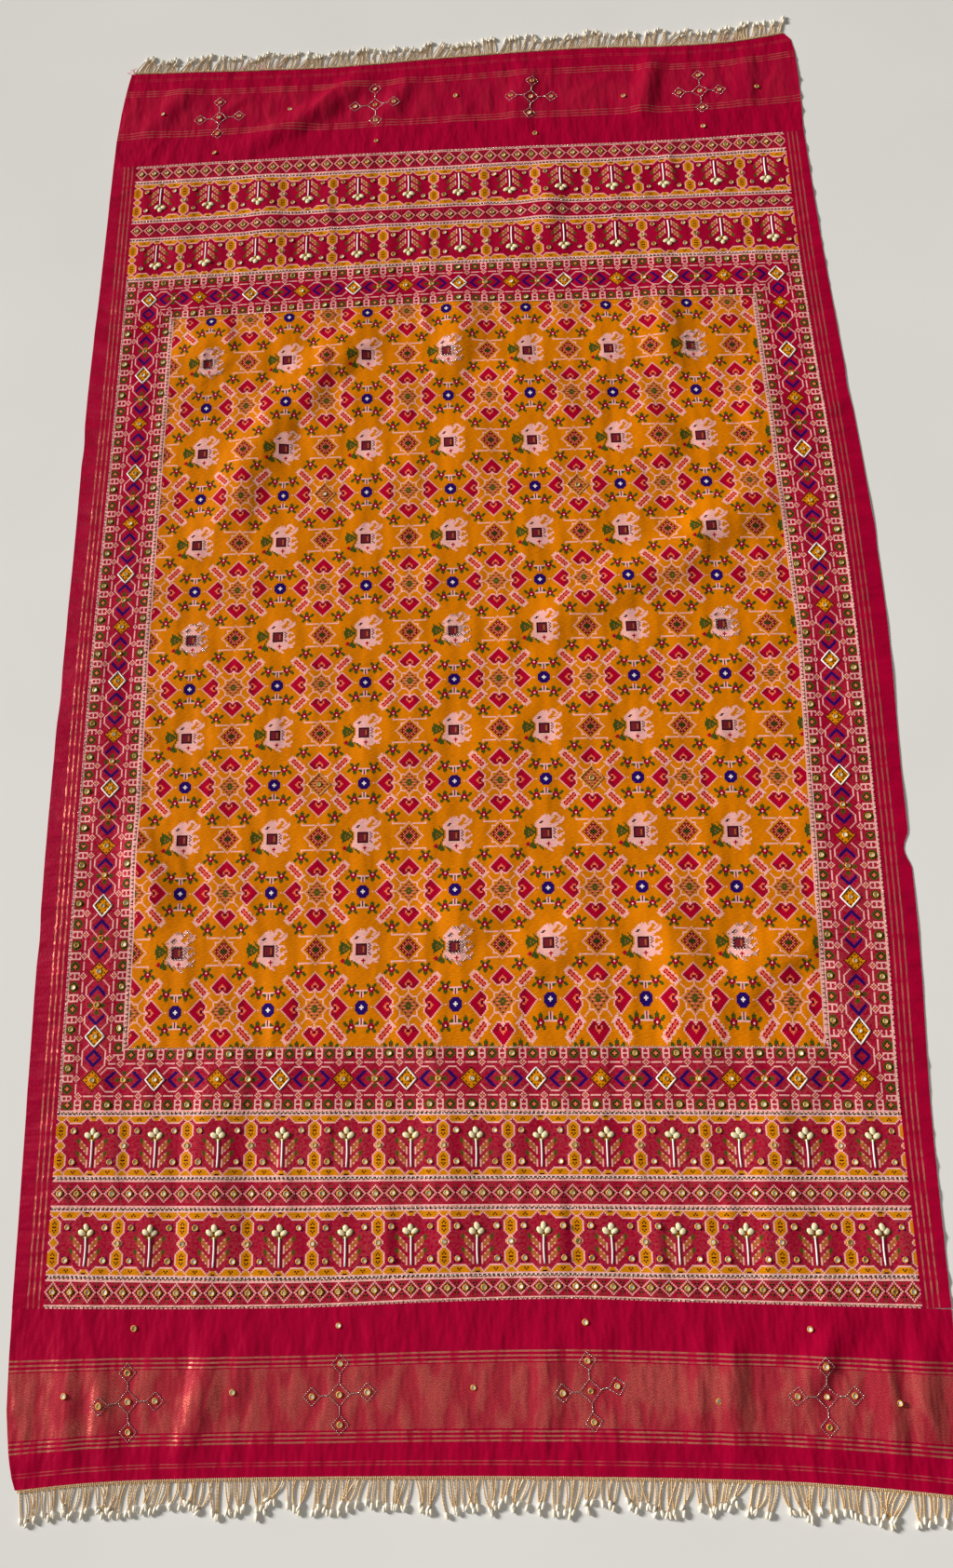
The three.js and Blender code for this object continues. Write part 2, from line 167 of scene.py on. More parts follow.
# %% [markdown]
# Folds. The first table repeats the part's folds, so that the shells lie on its solids. The second holds
# what is too fine for a solid: narrow creases that a finger would smooth out. The larger ones lie where
# the photograph shows them, the fine ones across the bands are only of the same kind, and no two are
# alike.
# %% Folds and creases
folds = [
    # from x, from y, to x, to y, bow, half width, rise
    (-115, 530, -262, 405, 12, 50, 7), (-240, 450, -362, 150, 14, 52, 8.5),
    (-350, 545, -438, 462, 0, 46, 4), (-8, 600, -24, 425, -12, 46, 6.5), (10, 385, 14, 275, 0, 44, 3),
    (282, 590, 298, 390, -14, 48, 6.5), (30, 472, 215, 345, 8, 46, 5), (238, 372, 300, 268, -10, 46, 5),
    (448, 216, 270, 100, 8, 52, 8.5), (310, 120, 104, 48, -8, 50, 6.5), (30, 18, 200, 36, 0, 40, 3),
    (418, 392, 456, 276, 0, 44, 5), (-450, -236, -398, -392, 12, 46, 7), (-52, -352, 14, -424, 0, 44, 5),
    (6, -462, 196, -416, -6, 46, 5), (236, -320, 272, -610, -10, 48, 6.5),
    (462, -400, 288, -526, 8, 48, 6), (-200, -141, 110, -156, 0, 38, 2.5),
    (-318, -510, -324, -846, 5, 46, 4), (-40, -556, -32, -846, -5, 46, 4),
    (372, -560, 356, -846, 6, 46, 4.5), (-300, 640, -330, 846, 8, 46, 4), (120, 650, 160, 842, -8, 46, 4),
    (-498, -872, -486, -1036, -5, 25, 5.5), (-466, -880, -436, -1036, -4, 22, 4.5),
    (-318, -868, -350, -1026, -5, 26, 6), (-276, -876, -292, -972, 0, 22, 3),
    (80, -872, 74, -1010, 3, 26, 3), (256, -880, 250, -1024, 4, 22, 4), (298, -876, 290, -1034, 9, 24, 6),
    (432, -866, 362, -968, 4, 26, 5), (462, -884, 470, -1038, 4, 24, 5),
    (506, -880, 502, -1030, 2, 22, 5), (-136, 1034, -380, 876, -14, 32, 7),
    (-436, 1040, -530, 912, -6, 30, 5), (326, 1036, 288, 872, 6, 28, 6.5),
    (-66, 1030, -126, 906, 6, 28, 4), (470, 1024, 456, 890, 5, 28, 4), (118, 1030, 92, 884, 6, 28, 4.5),
]
creases = [
    # from x, from y, to x, to y, bow, half width, rise
    (-425, 430, -330, 505, 3, 11, 1.9), (-378, -60, -352, -118, 5, 9, 1.7),
    (-402, -250, -372, -345, 6, 10, 2.1), (-300, -372, -262, -455, -4, 10, 1.6),
    (-330, 392, -262, 352, -5, 9, 1.4), (-196, 470, -118, 512, 4, 10, 1.8),
    (196, 380, 268, 330, -3, 9, 1.6), (120, 250, 205, 286, 4, 8, 1.2), (330, 330, 420, 296, 6, 10, 1.9),
    (150, -372, 236, -352, 3, 9, 1.7), (280, -392, 372, -368, -4, 10, 2.0),
    (60, -540, 110, -470, 5, 9, 1.6), (372, -470, 440, -430, 4, 10, 1.8),
    (-120, -520, -60, -480, -3, 9, 1.3), (-20, 120, 92, 102, 3, 8, 1.1), (-232, 60, -150, 88, -3, 8, 1.2),
    (330, -60, 412, -20, 5, 9, 1.6), (-60, 560, -46, 508, 3, 8, 2.0), (206, 566, 214, 500, -3, 8, 1.8),
    (-236, 566, -228, 520, 3, 8, 1.5), (60, 562, 66, 520, 2, 7, 1.4), (352, 556, 360, 512, 3, 8, 1.6),
    (-398, 560, -392, 528, 2, 7, 1.3), (-262, -552, -256, -500, 3, 8, 1.6),
    (146, -556, 140, -512, -2, 7, 1.4), (330, -560, 326, -520, 2, 7, 1.3),
    (-92, -550, -96, -508, 2, 7, 1.2), (-532, -940, -452, -1000, 4, 8, 1.8),
    (-236, -990, -142, -1022, 5, 9, 1.6), (-60, -930, 20, -1000, 6, 9, 1.2),
    (150, -1000, 236, -1024, -4, 8, 1.5), (340, -990, 420, -1030, 4, 8, 1.7),
    (-420, 920, -330, 1004, -6, 10, 2.0), (-250, 930, -176, 1012, -7, 9, 1.8),
    (-30, 900, 40, 980, 6, 9, 1.4), (180, 930, 256, 996, -6, 9, 1.6), (360, 906, 420, 986, 5, 9, 1.5),
    (-512, 880, -470, 940, 4, 8, 1.5), (-470, -556, -462, -642, 3, 9, 2.0),
    (-402, -700, -410, -822, -3, 10, 2.2), (-236, -640, -228, -762, 4, 9, 2.4),
    (-180, -566, -187, -694, -3, 8, 1.6), (-110, -716, -101, -838, 4, 10, 2.3),
    (36, -596, 30, -704, 3, 9, 1.9), (93, -688, 99, -832, -4, 10, 2.5), (161, -560, 154, -664, 2, 8, 1.5),
    (214, -738, 221, -840, 3, 9, 2.1), (300, -696, 291, -834, -4, 11, 2.6),
    (440, -588, 447, -706, 3, 9, 2.0), (470, -738, 461, -842, -3, 8, 1.8),
    (-402, 648, -393, 724, 3, 9, 1.8), (-200, 700, -209, 804, -3, 10, 2.2),
    (-61, 640, -53, 742, 3, 8, 1.6), (41, 718, 34, 834, 4, 9, 2.1), (240, 658, 247, 764, -3, 9, 1.9),
    (331, 738, 323, 842, 3, 10, 2.3), (430, 648, 437, 744, -2, 8, 1.5),
]
# crosswise puckers along both selvedges: their spacing, how deep and how long they are vary
PUCKER_EDGE, PUCKERS_TO = 556, 1015
for side in (-1, 1):
    y = -float(PUCKERS_TO)
    while y < PUCKERS_TO:
        reach = rng.uniform(16, 44)
        edge_x = side * PUCKER_EDGE
        creases.append((edge_x, y, edge_x - side * reach, y + rng.uniform(-7, 7), 0,
                        rng.uniform(6, 11), rng.uniform(0.5, 1.7)))
        y += rng.uniform(24, 52)


def rise_of(table, x, y):
    total = np.zeros_like(x)
    for from_x, from_y, to_x, to_y, bow, half_width, rise in table:
        length = math.hypot(to_x - from_x, to_y - from_y)
        dir_x, dir_y = (to_x - from_x) / length, (to_y - from_y) / length
        along = ((x - from_x) * dir_x + (y - from_y) * dir_y) / length
        aside = (x - from_x) * dir_y - (y - from_y) * dir_x - 4 * bow * along * (1 - along)
        total += rise * bump(aside / half_width) * bump(2 * along - 1) ** 0.5
    return total


WAVES = 14
FLUTTER_HEIGHT = 0.34
waves = [(rng.uniform(0.03, 0.11), rng.uniform(0, math.pi), rng.uniform(0, 2 * math.pi))
         for _ in range(WAVES)]


def flutter(x, y):
    """The small unevenness of limp silk: many weak waves in all directions, never below the floor."""
    total = sum(np.sin(k * (x * math.cos(a) + y * math.sin(a)) + p) for k, a, p in waves)
    return FLUTTER_HEIGHT * np.maximum(total / 3.2 + 0.4, 0)


def height(x, y):
    x, y = np.asarray(x, float), np.asarray(y, float)
    return rise_of(folds, x, y) + rise_of(creases, x, y) + flutter(x, y)


print(len(folds), "folds,", len(creases), "creases")

# %% [markdown]
# The weave has its own grid. The woven panel is 574 cells across, and its length is cut into bands, each
# with a whole number of cells. A table says where each band line lies on the floor at four stations
# across, because the cloth isn't laid quite square. Between the lines the cells are spaced evenly.
# %% The grid of the weave
FRAME_WIDE = 46
FIELD_WIDE = 482
CELLS = FIELD_WIDE + 2 * FRAME_WIDE
FIELD_RIGHT = CELLS - FRAME_WIDE
CHAIN_END, TREES, CHAIN, FRAME_TALL = 16, 42, 19, 44
STAR_PITCH_ACROSS, STAR_PITCH = 66, 78
STATIONS = np.array([-525.0, -80.0, 165.0, 515.0])

line_marks = [
    # name, cells from the line before, y at the four stations
    ("near seam", 0, -850.2, -849.8, -850.6, -864.2),
    ("lower trees", CHAIN_END, -815.2, -821.0, -824.0, -830.7),
    ("inner chain", TREES, -736.8, -743.5, -748.0, -755.3),
    ("upper trees", CHAIN, -701.8, -709.5, -714.0, -721.7),
    ("frame", TREES, -623.7, -632.0, -637.5, -646.6),
    ("field", FRAME_TALL, -544.0, -552.0, -558.0, -567.0),
    ("star row 1", 23, -503, -502, -498, -516),
    ("star row 2", STAR_PITCH, -345, -353, -356, -367),
    ("star row 3", STAR_PITCH, -198, -204, -207, -218),
    ("star row 4", STAR_PITCH, -57, -57, -61, -69),
    ("star row 5", STAR_PITCH, 94, 91, 88, 79),
    ("star row 6", STAR_PITCH, 243, 241, 237, 228),
    ("star row 7", STAR_PITCH, 396, 400, 391, 382),
    ("star row 8", STAR_PITCH, 553, 553, 546, 533),
    ("field end", 7, 563.1, 565, 557, 545),
    ("frame end", FRAME_TALL, 640.3, 640, 634, 622.9),
    ("upper trees end", TREES, 716.1, 716, 711, 703.5),
    ("inner chain end", CHAIN, 752, 750, 744, 735.6),
    ("lower trees end", TREES, 828.6, 823, 820, 817.2),
    ("far seam", CHAIN_END, 862.3, 860.0, 854.3, 852.1),
]
MARK = {}
ROWS = 0
for name, cells, *_ in line_marks:
    ROWS += cells
    MARK[name] = ROWS
mark_rows = np.array([MARK[name] for name, *_ in line_marks], float)
mark_ys = np.array([ys for _, _, *ys in line_marks])
print("weave is", CELLS, "by", ROWS, "cells")

field_sides = np.array([
    # y, field left, field right
    (-860, -442.0, 429.5),
    (-550, -442.0, 431.0),
    (0, -450.0, 450.0),
    (560, -446.0, 435.0),
    (860, -445.0, 431.0),
])
SEAM_BLEND = 90.0


def row_line(r, x):
    """How far along the floor the weave's row r is at x."""
    at_stations = np.stack([np.interp(r, mark_rows, mark_ys[:, k]) for k in range(len(STATIONS))])
    return hermite(STATIONS, at_stations, x)


def cell_place(c, r):
    """Where on the floor the weave's cell (c across, r along) lies, in millimetres."""
    c, r = np.broadcast_arrays(np.asarray(c, float), np.asarray(r, float))
    x = side_edges[0, PANEL_LEFT] + (side_edges[0, PANEL_RIGHT] - side_edges[0, PANEL_LEFT]) * c / CELLS
    for _ in range(2):
        y = row_line(r, x)
        for seam, row in ((NEAR_SEAM, 0), (FAR_SEAM, ROWS)):
            gap = through(cross_lines, seam, x) - row_line(np.full_like(r, row), x)
            y = y + gap * np.clip(1 - np.abs(r - row) / SEAM_BLEND, 0, 1)
        outer_left, outer_right = through(side_edges, PANEL_LEFT, y), through(side_edges, PANEL_RIGHT, y)
        left_x = np.interp(y, field_sides[:, 0], field_sides[:, 1])
        right_x = np.interp(y, field_sides[:, 0], field_sides[:, 2])
        x = np.where(c < FRAME_WIDE, outer_left + (left_x - outer_left) * c / FRAME_WIDE,
                     np.where(c < FIELD_RIGHT, left_x + (right_x - left_x) * (c - FRAME_WIDE) / FIELD_WIDE,
                              right_x + (outer_right - right_x) * (c - FIELD_RIGHT) / FRAME_WIDE))
    return x, y


def strip_place(right_side, across, r):
    """A place on a side strip: across runs from the panel (0) to the selvedge (1)."""
    inner_x, y = cell_place(np.full_like(r, CELLS if right_side else 0, dtype=float), r)
    outer_x = through(side_edges, STRIP_RIGHT if right_side else STRIP_LEFT, y) + kink_at(right_side, y)
    return inner_x + (outer_x - inner_x) * across, y


def end_place(end, across, along):
    """A place on an end panel: across from left to right, along from the seam (0) to the fringe (1)."""
    left_col, right_col = (1, 2) if end == "far" else (3, 4)
    left_x = np.interp(along, end_sides[:, 0], end_sides[:, left_col])
    right_x = np.interp(along, end_sides[:, 0], end_sides[:, right_col])
    x = left_x + (right_x - left_x) * across
    seam = through(cross_lines, FAR_SEAM if end == "far" else NEAR_SEAM, x)
    tip = through(cross_lines, FAR_END if end == "far" else NEAR_END, x)
    return x, seam + (tip - seam) * along


# %% [markdown]
# Shader maths reads best as plain sums. The class below wraps one socket of a node tree, and each
# operator adds the Math node that does it. Everything that isn't a sum goes through one method, node(),
# which takes the node's type, its settings, and what goes into its sockets.
# %% Sums of sockets


class Value:
    """One number that changes over the surface."""

    def __init__(self, cloth, socket):
        self.cloth = cloth
        self.socket = socket

    def __add__(self, other):
        return self.cloth.math("ADD", self, other)

    __radd__ = __add__

    def __mul__(self, other):
        return self.cloth.math("MULTIPLY", self, other)

    __rmul__ = __mul__

    def __sub__(self, other):
        return self.cloth.math("SUBTRACT", self, other)

    def __rsub__(self, other):
        return self.cloth.math("SUBTRACT", other, self)

    def __truediv__(self, other):
        return self.cloth.math("DIVIDE", self, other)

    def __mod__(self, other):
        return self.cloth.math("FLOORED_MODULO", self, other)

    def __gt__(self, other):
        return self.cloth.math("GREATER_THAN", self, other)

    def __lt__(self, other):
        return self.cloth.math("LESS_THAN", self, other)

    def floor(self):
        return self.cloth.math("FLOOR", self)

    def least(self, other):
        return self.cloth.math("MINIMUM", self, other)

    def most(self, other):
        return self.cloth.math("MAXIMUM", self, other)

    def size(self):
        return self.cloth.math("ABSOLUTE", self)

    def equals(self, number):
        return self.cloth.math("COMPARE", self, number, 0.5)

    def within(self, low, high):
        return (self > low) * (self < high)


def linear(hex_colour):
    """A colour written as on a dyer's card, turned into the numbers that light works with."""
    parts = [int(hex_colour[i:i + 2], 16) / 255 for i in (1, 3, 5)]
    return tuple(p / 12.92 if p <= 0.04045 else ((p + 0.055) / 1.055) ** 2.4 for p in parts) + (1.0,)


class Cloth:
    """A material under construction."""

    def __init__(self, name):
        self.material = bpy.data.materials.new(name)
        self.material.use_nodes = True
        self.tree = self.material.node_tree
        self.tree.nodes.clear()
        self.shader = self.node("ShaderNodeBsdfPrincipled")
        self.node("ShaderNodeOutputMaterial", {}, {"Surface": self.shader.outputs[0]})

    def plug(self, target, value):
        if isinstance(value, Value):
            value = value.socket
        if isinstance(value, bpy.types.NodeSocket):
            self.tree.links.new(value, target)
        else:
            target.default_value = value

    def node(self, kind, settings=None, sockets=None):
        node = self.tree.nodes.new(kind)
        for name, value in (settings or {}).items():
            if name == "stops":
                ramp = node.color_ramp
                while len(ramp.elements) < len(value):
                    ramp.elements.new(1.0)
                for stop, (position, colour) in zip(ramp.elements, value):
                    stop.position = position
                for stop, (position, colour) in zip(ramp.elements, value):
                    stop.color = colour
            elif name == "steps":
                node.color_ramp.interpolation = value
            else:
                setattr(node, name, value)
        for name, value in (sockets or {}).items():
            self.plug(node.inputs[name], value)
        return node

    def math(self, operation, *values):
        node = self.node("ShaderNodeMath", {"operation": operation}, dict(enumerate(values)))
        return Value(self, node.outputs[0])

    def steps(self, at, colours):
        """A row of colours with hard edges, picked by a whole number."""
        count = len(colours)
        stops = [(k / count, colour) for k, colour in enumerate(colours)]
        settings = {"steps": "CONSTANT", "stops": stops}
        return self.node("ShaderNodeValToRGB", settings, {0: (at + 0.5) / count}).outputs[0]

    def parts(self, colour):
        node = self.node("ShaderNodeSeparateColor", {}, {0: colour})
        return [Value(self, node.outputs[k]) for k in range(3)]

    def blend(self, share, first, second):
        return self.node("ShaderNodeMix", {"data_type": "RGBA"}, {0: share, 6: first, 7: second}).outputs[2]

    def scaled(self, colour, share):
        sockets = {0: colour, "Scale": share}
        return self.node("ShaderNodeVectorMath", {"operation": "SCALE"}, sockets).outputs[0]

    def noise(self, at, scale, detail, stretch=(1, 1, 1)):
        spot = self.node("ShaderNodeMapping", {}, {"Vector": at, "Scale": stretch}).outputs[0]
        sockets = {"Vector": spot, "Scale": scale, "Detail": detail}
        return Value(self, self.node("ShaderNodeTexNoise", {}, sockets).outputs["Fac"])

    def raised(self, relief, depth, strength):
        sockets = {"Strength": strength, "Distance": depth, "Height": relief}
        return self.node("ShaderNodeBump", {}, sockets).outputs[0]

    def grid(self):
        """The weave's own coordinates, cells across and along."""
        uv = self.node("ShaderNodeUVMap", {"uv_map": "cells"}).outputs[0]
        parts = self.node("ShaderNodeSeparateXYZ", {}, {0: uv})
        return Value(self, parts.outputs[0]), Value(self, parts.outputs[1]), uv

    def finish(self, **sockets):
        names = {"colour": "Base Color", "roughness": "Roughness", "metal": "Metallic", "normal": "Normal",
                 "specular": "Specular IOR Level", "coat": "Coat Weight"}
        for name, value in sockets.items():
            self.plug(self.shader.inputs[names[name]], value)
        return self.material


# %% [markdown]
# Patola is woven from yarns that are tied and dyed before weaving, so its figures are built of small
# square steps. A figure is charted on a grid, as weavers do: letters for colours, a dot for the
# ground. Of a figure that is alike on both sides of an axis only a half or a quarter is drawn. No picture
# is read: these are common figures of the craft.
# %% Colours of the yarns
yarns = {
    ".": "#D67800", "p": "#F2B0A6", "r": "#AE0026", "k": "#2A0A0E", "g": "#444E14", "o": "#D58200",
    "t": "#B0602E", "v": "#26085A", "w": "#F4E7DC", "d": "#6E0C1E", "n": "#F07850", "m": "#701E2A",
}
LETTERS = "".join(yarns)
GROUND_OCHRE = "#D87800"
GROUND_CRIMSON = "#A4002C"


def blank(wide, tall):
    row, column = np.mgrid[0:tall, 0:wide]
    return np.full((tall, wide), "."), column, row


def stamp(figure, rows, column, row):
    """Copies a small chart of text into a larger one; its dots leave what is there."""
    for j, line in enumerate(rows):
        for i, letter in enumerate(line):
            if letter != ".":
                figure[row + j, column + i] = letter


def drawn(*rows):
    """A chart from lines of text of one length."""
    return np.array([list(line) for line in rows])


# %% [markdown]
# The field's repeat, one quarter of it: the star with four hearts is at the first corner, a lesser star
# at the end of the first column, and the blue flower at the end of the first row.
# %% The field's repeat
field_chart, c, r = blank(34, 40)


def star(tip, arm, middle, inner):
    """An eight-pointed outline, a square laid over a diamond, with rings of checks inside."""
    away = np.abs(r - middle)
    s, square = c + away, np.maximum(c, away)
    outer = (s <= tip) | (square <= arm)
    core = (s <= tip - 1) | (square <= arm - 1)
    field_chart[outer & ~core] = "p"
    for k, pair in enumerate(inner):
        field_chart[(s == k) & (c % 2 == 0)] = pair[0]
        field_chart[(s == k) & (c % 2 == 1)] = pair[-1]


star(9, 6, 0, ["t", "g", "g", "tg", "tn", "nt", "kt", "t"])
star(10, 6, 39, ["g", "k", "g", "kr", "n", "k", "nr", "k"])
field_chart[(r == 0) & (c >= 10) & (c <= 11) | (c == 0) & (r >= 10) & (r <= 11)] = "p"

HEART_TOP = 11
heart_half_widths = [4, 5, 6, 7, 8, 8, 7, 6, 5, 4, 3, 2, 1, 0]
for away, half in enumerate(heart_half_widths, HEART_TOP):
    for aside in range(half + 1):
        letter = "d" if half - aside in (2, 4) and (away + aside) % 2 and away > 12 else "r"
        notch = (away, aside) in ((12, 0), (12, 1), (13, 0))
        if aside == half or notch or away == HEART_TOP and aside > 1:
            letter = "p"
        elif away == HEART_TOP:
            letter = "."
        elif (away, aside) in ((17, 0), (16, 1), (15, 2), (14, 2), (16, 0)):
            letter = "n"
        elif (away, aside) in ((14, 0), (15, 0)):
            letter = "k"
        if letter != ".":
            field_chart[aside, away] = letter
            field_chart[away, aside] = letter

along, off = c + r, np.abs(c - r - 1)
field_chart[(along >= 21) & (along <= 42) & (off <= 4) & ((along % 6 < 4) | (off < 4))] = "p"
inner = (along >= 24) & (along <= 39) & (off <= 2)
field_chart[inner] = "n"
field_chart[inner & (off == 1)] = "r"
field_chart[inner & (off == 2) & (along % 4 == 1)] = "r"
field_chart[(c == r) & (c > 5) & (c < 10)] = "p"

flower = [
    ".....g.....",
    "....ggg....",
    "gg..ggg..gg",
    "ggg.drd.ggg",
    ".ggdrrrdgg.",
    "...drwrd...",
    "...gdrdg...",
    "..ggg.ggg..",
    "..gg...gg..",
]
stamp(field_chart, flower, 12 - 5, 25 - 5)
stamp(field_chart, flower, 26 - 5, 12 - 5)
field_chart[(r == 30) & (c >= 3) & (c <= 12) | (c == 12) & (r > 28) & (r < 31)] = "p"
blue_c = 33 - c
field_chart[(blue_c + r <= 6) & (np.maximum(blue_c, r) <= 4)] = "v"
field_chart[blue_c + r <= 1] = "w"
field_chart[(blue_c == 7) & (r == 0)] = "p"
field_chart[(blue_c == 1) & (r > 6) & (r < 12) | (r == 11) & (blue_c <= 4)] = "p"
field_chart[(blue_c == 0) & (r > 6) & (r < 11)] = "m"
print("field chart", field_chart.shape)

# %% [markdown]
# The elephant is drawn whole. It stands on end, with its head towards the far end and a leaf at its back.
# %% Elephant
elephant_chart = drawn(
    ".....................ppp.....",
    "...............p.p..ppppp....",
    ".............pppppp.pp..pp...",
    "............pppppppppp...pp.p",
    "...........pppppppppp...pp.pp",
    "..........pppppppppp...pp.ppp",
    ".........pppkkppppp......ppp.",
    "........pppkkpppppp...ppppp..",
    ".....g..ppppppppppppppppp....",
    ".g....g.pppppppppppppppp.....",
    ".ggg..gg.pppppppppppppp......",
    ".ggggg.gg.ppkkkkkkkkpkppppp..",
    "ggggggg.g.ppkmmmmmmkppkpp.pp.",
    "gggtggggg.ppkmmmmtmkpkpp.....",
    "gggggtggg.ppkmmmmtmkppkp....p",
    "gggtggg.g.ppkmmmmtmkpkpp..ppp",
    ".ggggg..g.ppkmmmmtmkppppppp..",
    ".ggg...g.pppkmmmmmmkpkppppp..",
    ".g.....g.pppkkkkkkkkppkpp....",
    "......g.pppppppppppppppp....p",
    "......g.pppppppppppppppp...pp",
    "..rr.gg.ppppppppprpppppppppp.",
    ".rrrgggg.gpppppprrrpppppppp..",
    "..rrggggg.ggppppprpppppp.ppp.",
    "....ggggg..gg.ppp.ppppp......",
    "......ggg...gg..ppp..........",
    ".............g...ppp.........",
    "...................pp........",
)
ELEPHANT_LEFT, ELEPHANT_TOP = -16, 14
ELEPHANT_TALL, ELEPHANT_WIDE = elephant_chart.shape
print("elephant chart", elephant_chart.shape)

# %% [markdown]
# The frame has a chain of gold diamonds and small crosses with blue arrows between them. It is charted
# from a diamond (column 0) to a cross (column 22), and only for one side of the chain's middle line. The
# rows of rings and H shapes on both sides of it repeat faster, so they have a chart of their own.
# %% The frame's charts
chain_chart = drawn(
    "oooookok.vvv....gggkooo",
    "ooooook...vvv....gg.oko",
    "oookok.....vvv.......ok",
    "ooook.......vvv.....p..",
    "okok..p......vvv...p.gg",
    "ook....p......vvv.p..gg",
    "ok......p........p....g",
    "k........p......p......",
    "..........pppppp.......",
)
CHAIN_PITCH = 44
FIGURE_PITCH = 14
FIGURE_FIRST = 9
figure_chart = drawn(
    ".......p",
    "......p.",
    "pppp.p.o",
    "......p.",
    ".......p",
    "gg...pp.",
    "kgg..p..",
    "nkgg.p..",
    "nnkg.ppp",
    "nkgg.p..",
    "kgg..p..",
    "gg...pp.",
    "........",
)
FRAME_MIDDLE = 22
FIGURE_ROWS = (5, 39)

# %% [markdown]
# A tree band is charted from a tree's stem (column 0) to the hexagons between two trees (column 22), with
# the tree's foot at row 0. The chain of small diamonds is one quarter of its repeat.
# %% Tree and diamond charts
TREE_PITCH = 44
tree_chart, c, r = blank(23, TREES)
for top in (False, True):
    depth = (TREES - 1 - r) if top else r
    for centre, half, flat in ((12, 8, 6), (0, 4, 5), (22, 4, 5)):
        aside = np.abs(c - centre)
        tree_chart[(depth >= 2) & (aside + depth <= half + 1) & (depth < flat)] = "o"
        tree_chart[(depth >= 2) & (aside + depth == half + 2) & (depth < flat)] = "p"
        tree_chart[(depth == flat) & (aside <= half - flat + 2) & (flat == 6)] = "p"
    tree_chart[(depth == 3) & (c == 12) | (depth == 4) & (np.abs(c - 12) == 1)] = "k"
    tree_chart[(depth == 2) & (c <= 1)] = "k"
    tree_chart[depth == 1] = "p"
    tree_chart[(depth == 0) & (c % 3 > 0)] = "k"
    tree_chart[(depth == 0) & (c % 3 == 0)] = "w"
for middle in (30, 11):
    aside, away = 22 - c, np.abs(r - middle)
    tree_chart[(aside <= 4) & (aside + away <= 7) & (away <= 6)] = "p"
    tree_chart[(aside <= 3) & (aside + away <= 6) & (away <= 5)] = "o"
    tree_chart[(away == 3) & (aside == 0) | (away == 2) & (aside == 1) | (away == 0) & (aside <= 1)] = "k"
aside, away = 22 - c, np.abs(r - 20.5)
tree_chart[np.floor(aside + away) == 3] = "p"
tree_chart[aside + away < 3] = "o"
for start in (14, 6):
    off = r - c - start
    leaf = (c >= 3) & (c <= 8)
    tree_chart[leaf & (np.abs(off) == 2)] = "p"
    tree_chart[leaf & (np.abs(off) == 2) & (c % 2 == 0)] = "t"
    tree_chart[leaf & (np.abs(off) <= 1)] = "t"
    tree_chart[(c == 3) & (np.abs(off) <= 1)] = "p"
    tree_chart[(c > 8) & (c < 11) & (np.abs(off) <= 1)] = "g"
ring = c + 1.25 * np.abs(r - 27)
tree_chart[ring <= 6] = "o"
tree_chart[(ring <= 6) & (c % 2 == 0) & (r % 2 == 1)] = "k"
tree_chart[(ring <= 6) & (ring > 4.9)] = "g"
for spot in (30, 10):
    near = np.abs(c - 13) + np.abs(r - spot)
    tree_chart[(near == 4) & (np.abs(c - 13) > 1) & (np.abs(r - spot) > 1)] = "v"

DIAMOND_PITCH = 12
DIAMOND_FIRST = 5
diamond_chart, c, r = blank(7, 10)
for k, letter in enumerate("ooog.p"):
    diamond_chart[c + r == k] = letter
diamond_chart[(c + r == 3) & (c % 2 == 1)] = "k"
diamond_chart[(c == 6) & (r == 1) | (c == 5) & (r == 3)] = "k"
diamond_chart[(c == 6) & (r == 3) | (c == 6) & (r == 5)] = "g"
print("tree chart", tree_chart.shape, "diamond chart", diamond_chart.shape)

# %% [markdown]
# A chart becomes a material without any picture. Sixteen colours fit in 4 bits, so six cells of a chart
# row make one whole number of 24 bits, which a colour ramp with hard steps keeps exactly. The ramp is
# read by the row, one of its three channels by the column, and the cell is taken out of the number by
# dividing and taking the remainder.
# %% Reading a chart in a material
SHADES = 16
PER_NUMBER = 6
PER_RAMP = 3 * PER_NUMBER
RAMP_ROWS = 32


def lookup(cloth, figure, column, row):
    """The letter's number at a column and row of a chart. Both must already lie inside the chart."""
    tall, wide = figure.shape
    codes = np.array([[LETTERS.index(letter) for letter in line] for line in figure])
    codes = np.pad(codes, ((0, 0), (0, -wide % PER_RAMP)))
    number_at = (column / PER_NUMBER).floor()
    place = column - number_at * PER_NUMBER
    shares = [(SHADES ** -float(k),) * 3 + (1,) for k in range(PER_NUMBER)]
    share = cloth.parts(cloth.steps(place, shares))[0]
    picks = [number_at.equals(k) for k in range(math.ceil(wide / PER_NUMBER))]
    packed = None
    for first_row in range(0, tall, RAMP_ROWS):
        part = None
        for ramp in range(codes.shape[1] // PER_RAMP):
            colours = []
            for line in codes[first_row:first_row + RAMP_ROWS, ramp * PER_RAMP:(ramp + 1) * PER_RAMP]:
                numbers = [float(sum(int(v) * SHADES**k for k, v in enumerate(line[n:n + PER_NUMBER])))
                           for n in range(0, PER_RAMP, PER_NUMBER)]
                colours.append((*numbers, 1.0))
            channels = cloth.parts(cloth.steps(row - first_row, colours))
            for n in range(3):
                if ramp * 3 + n < len(picks):
                    term = channels[n] * picks[ramp * 3 + n]
                    part = term if part is None else part + term
        if packed is None:
            packed = part
        else:
            later = row > first_row - 0.5
            packed = packed * (1 - later) + part * later
    return (packed * share).floor() % SHADES


def fold(at, period):
    """Distance to the nearest middle of a figure that repeats and is alike on both sides."""
    there = at % period
    return there.least(period - there)


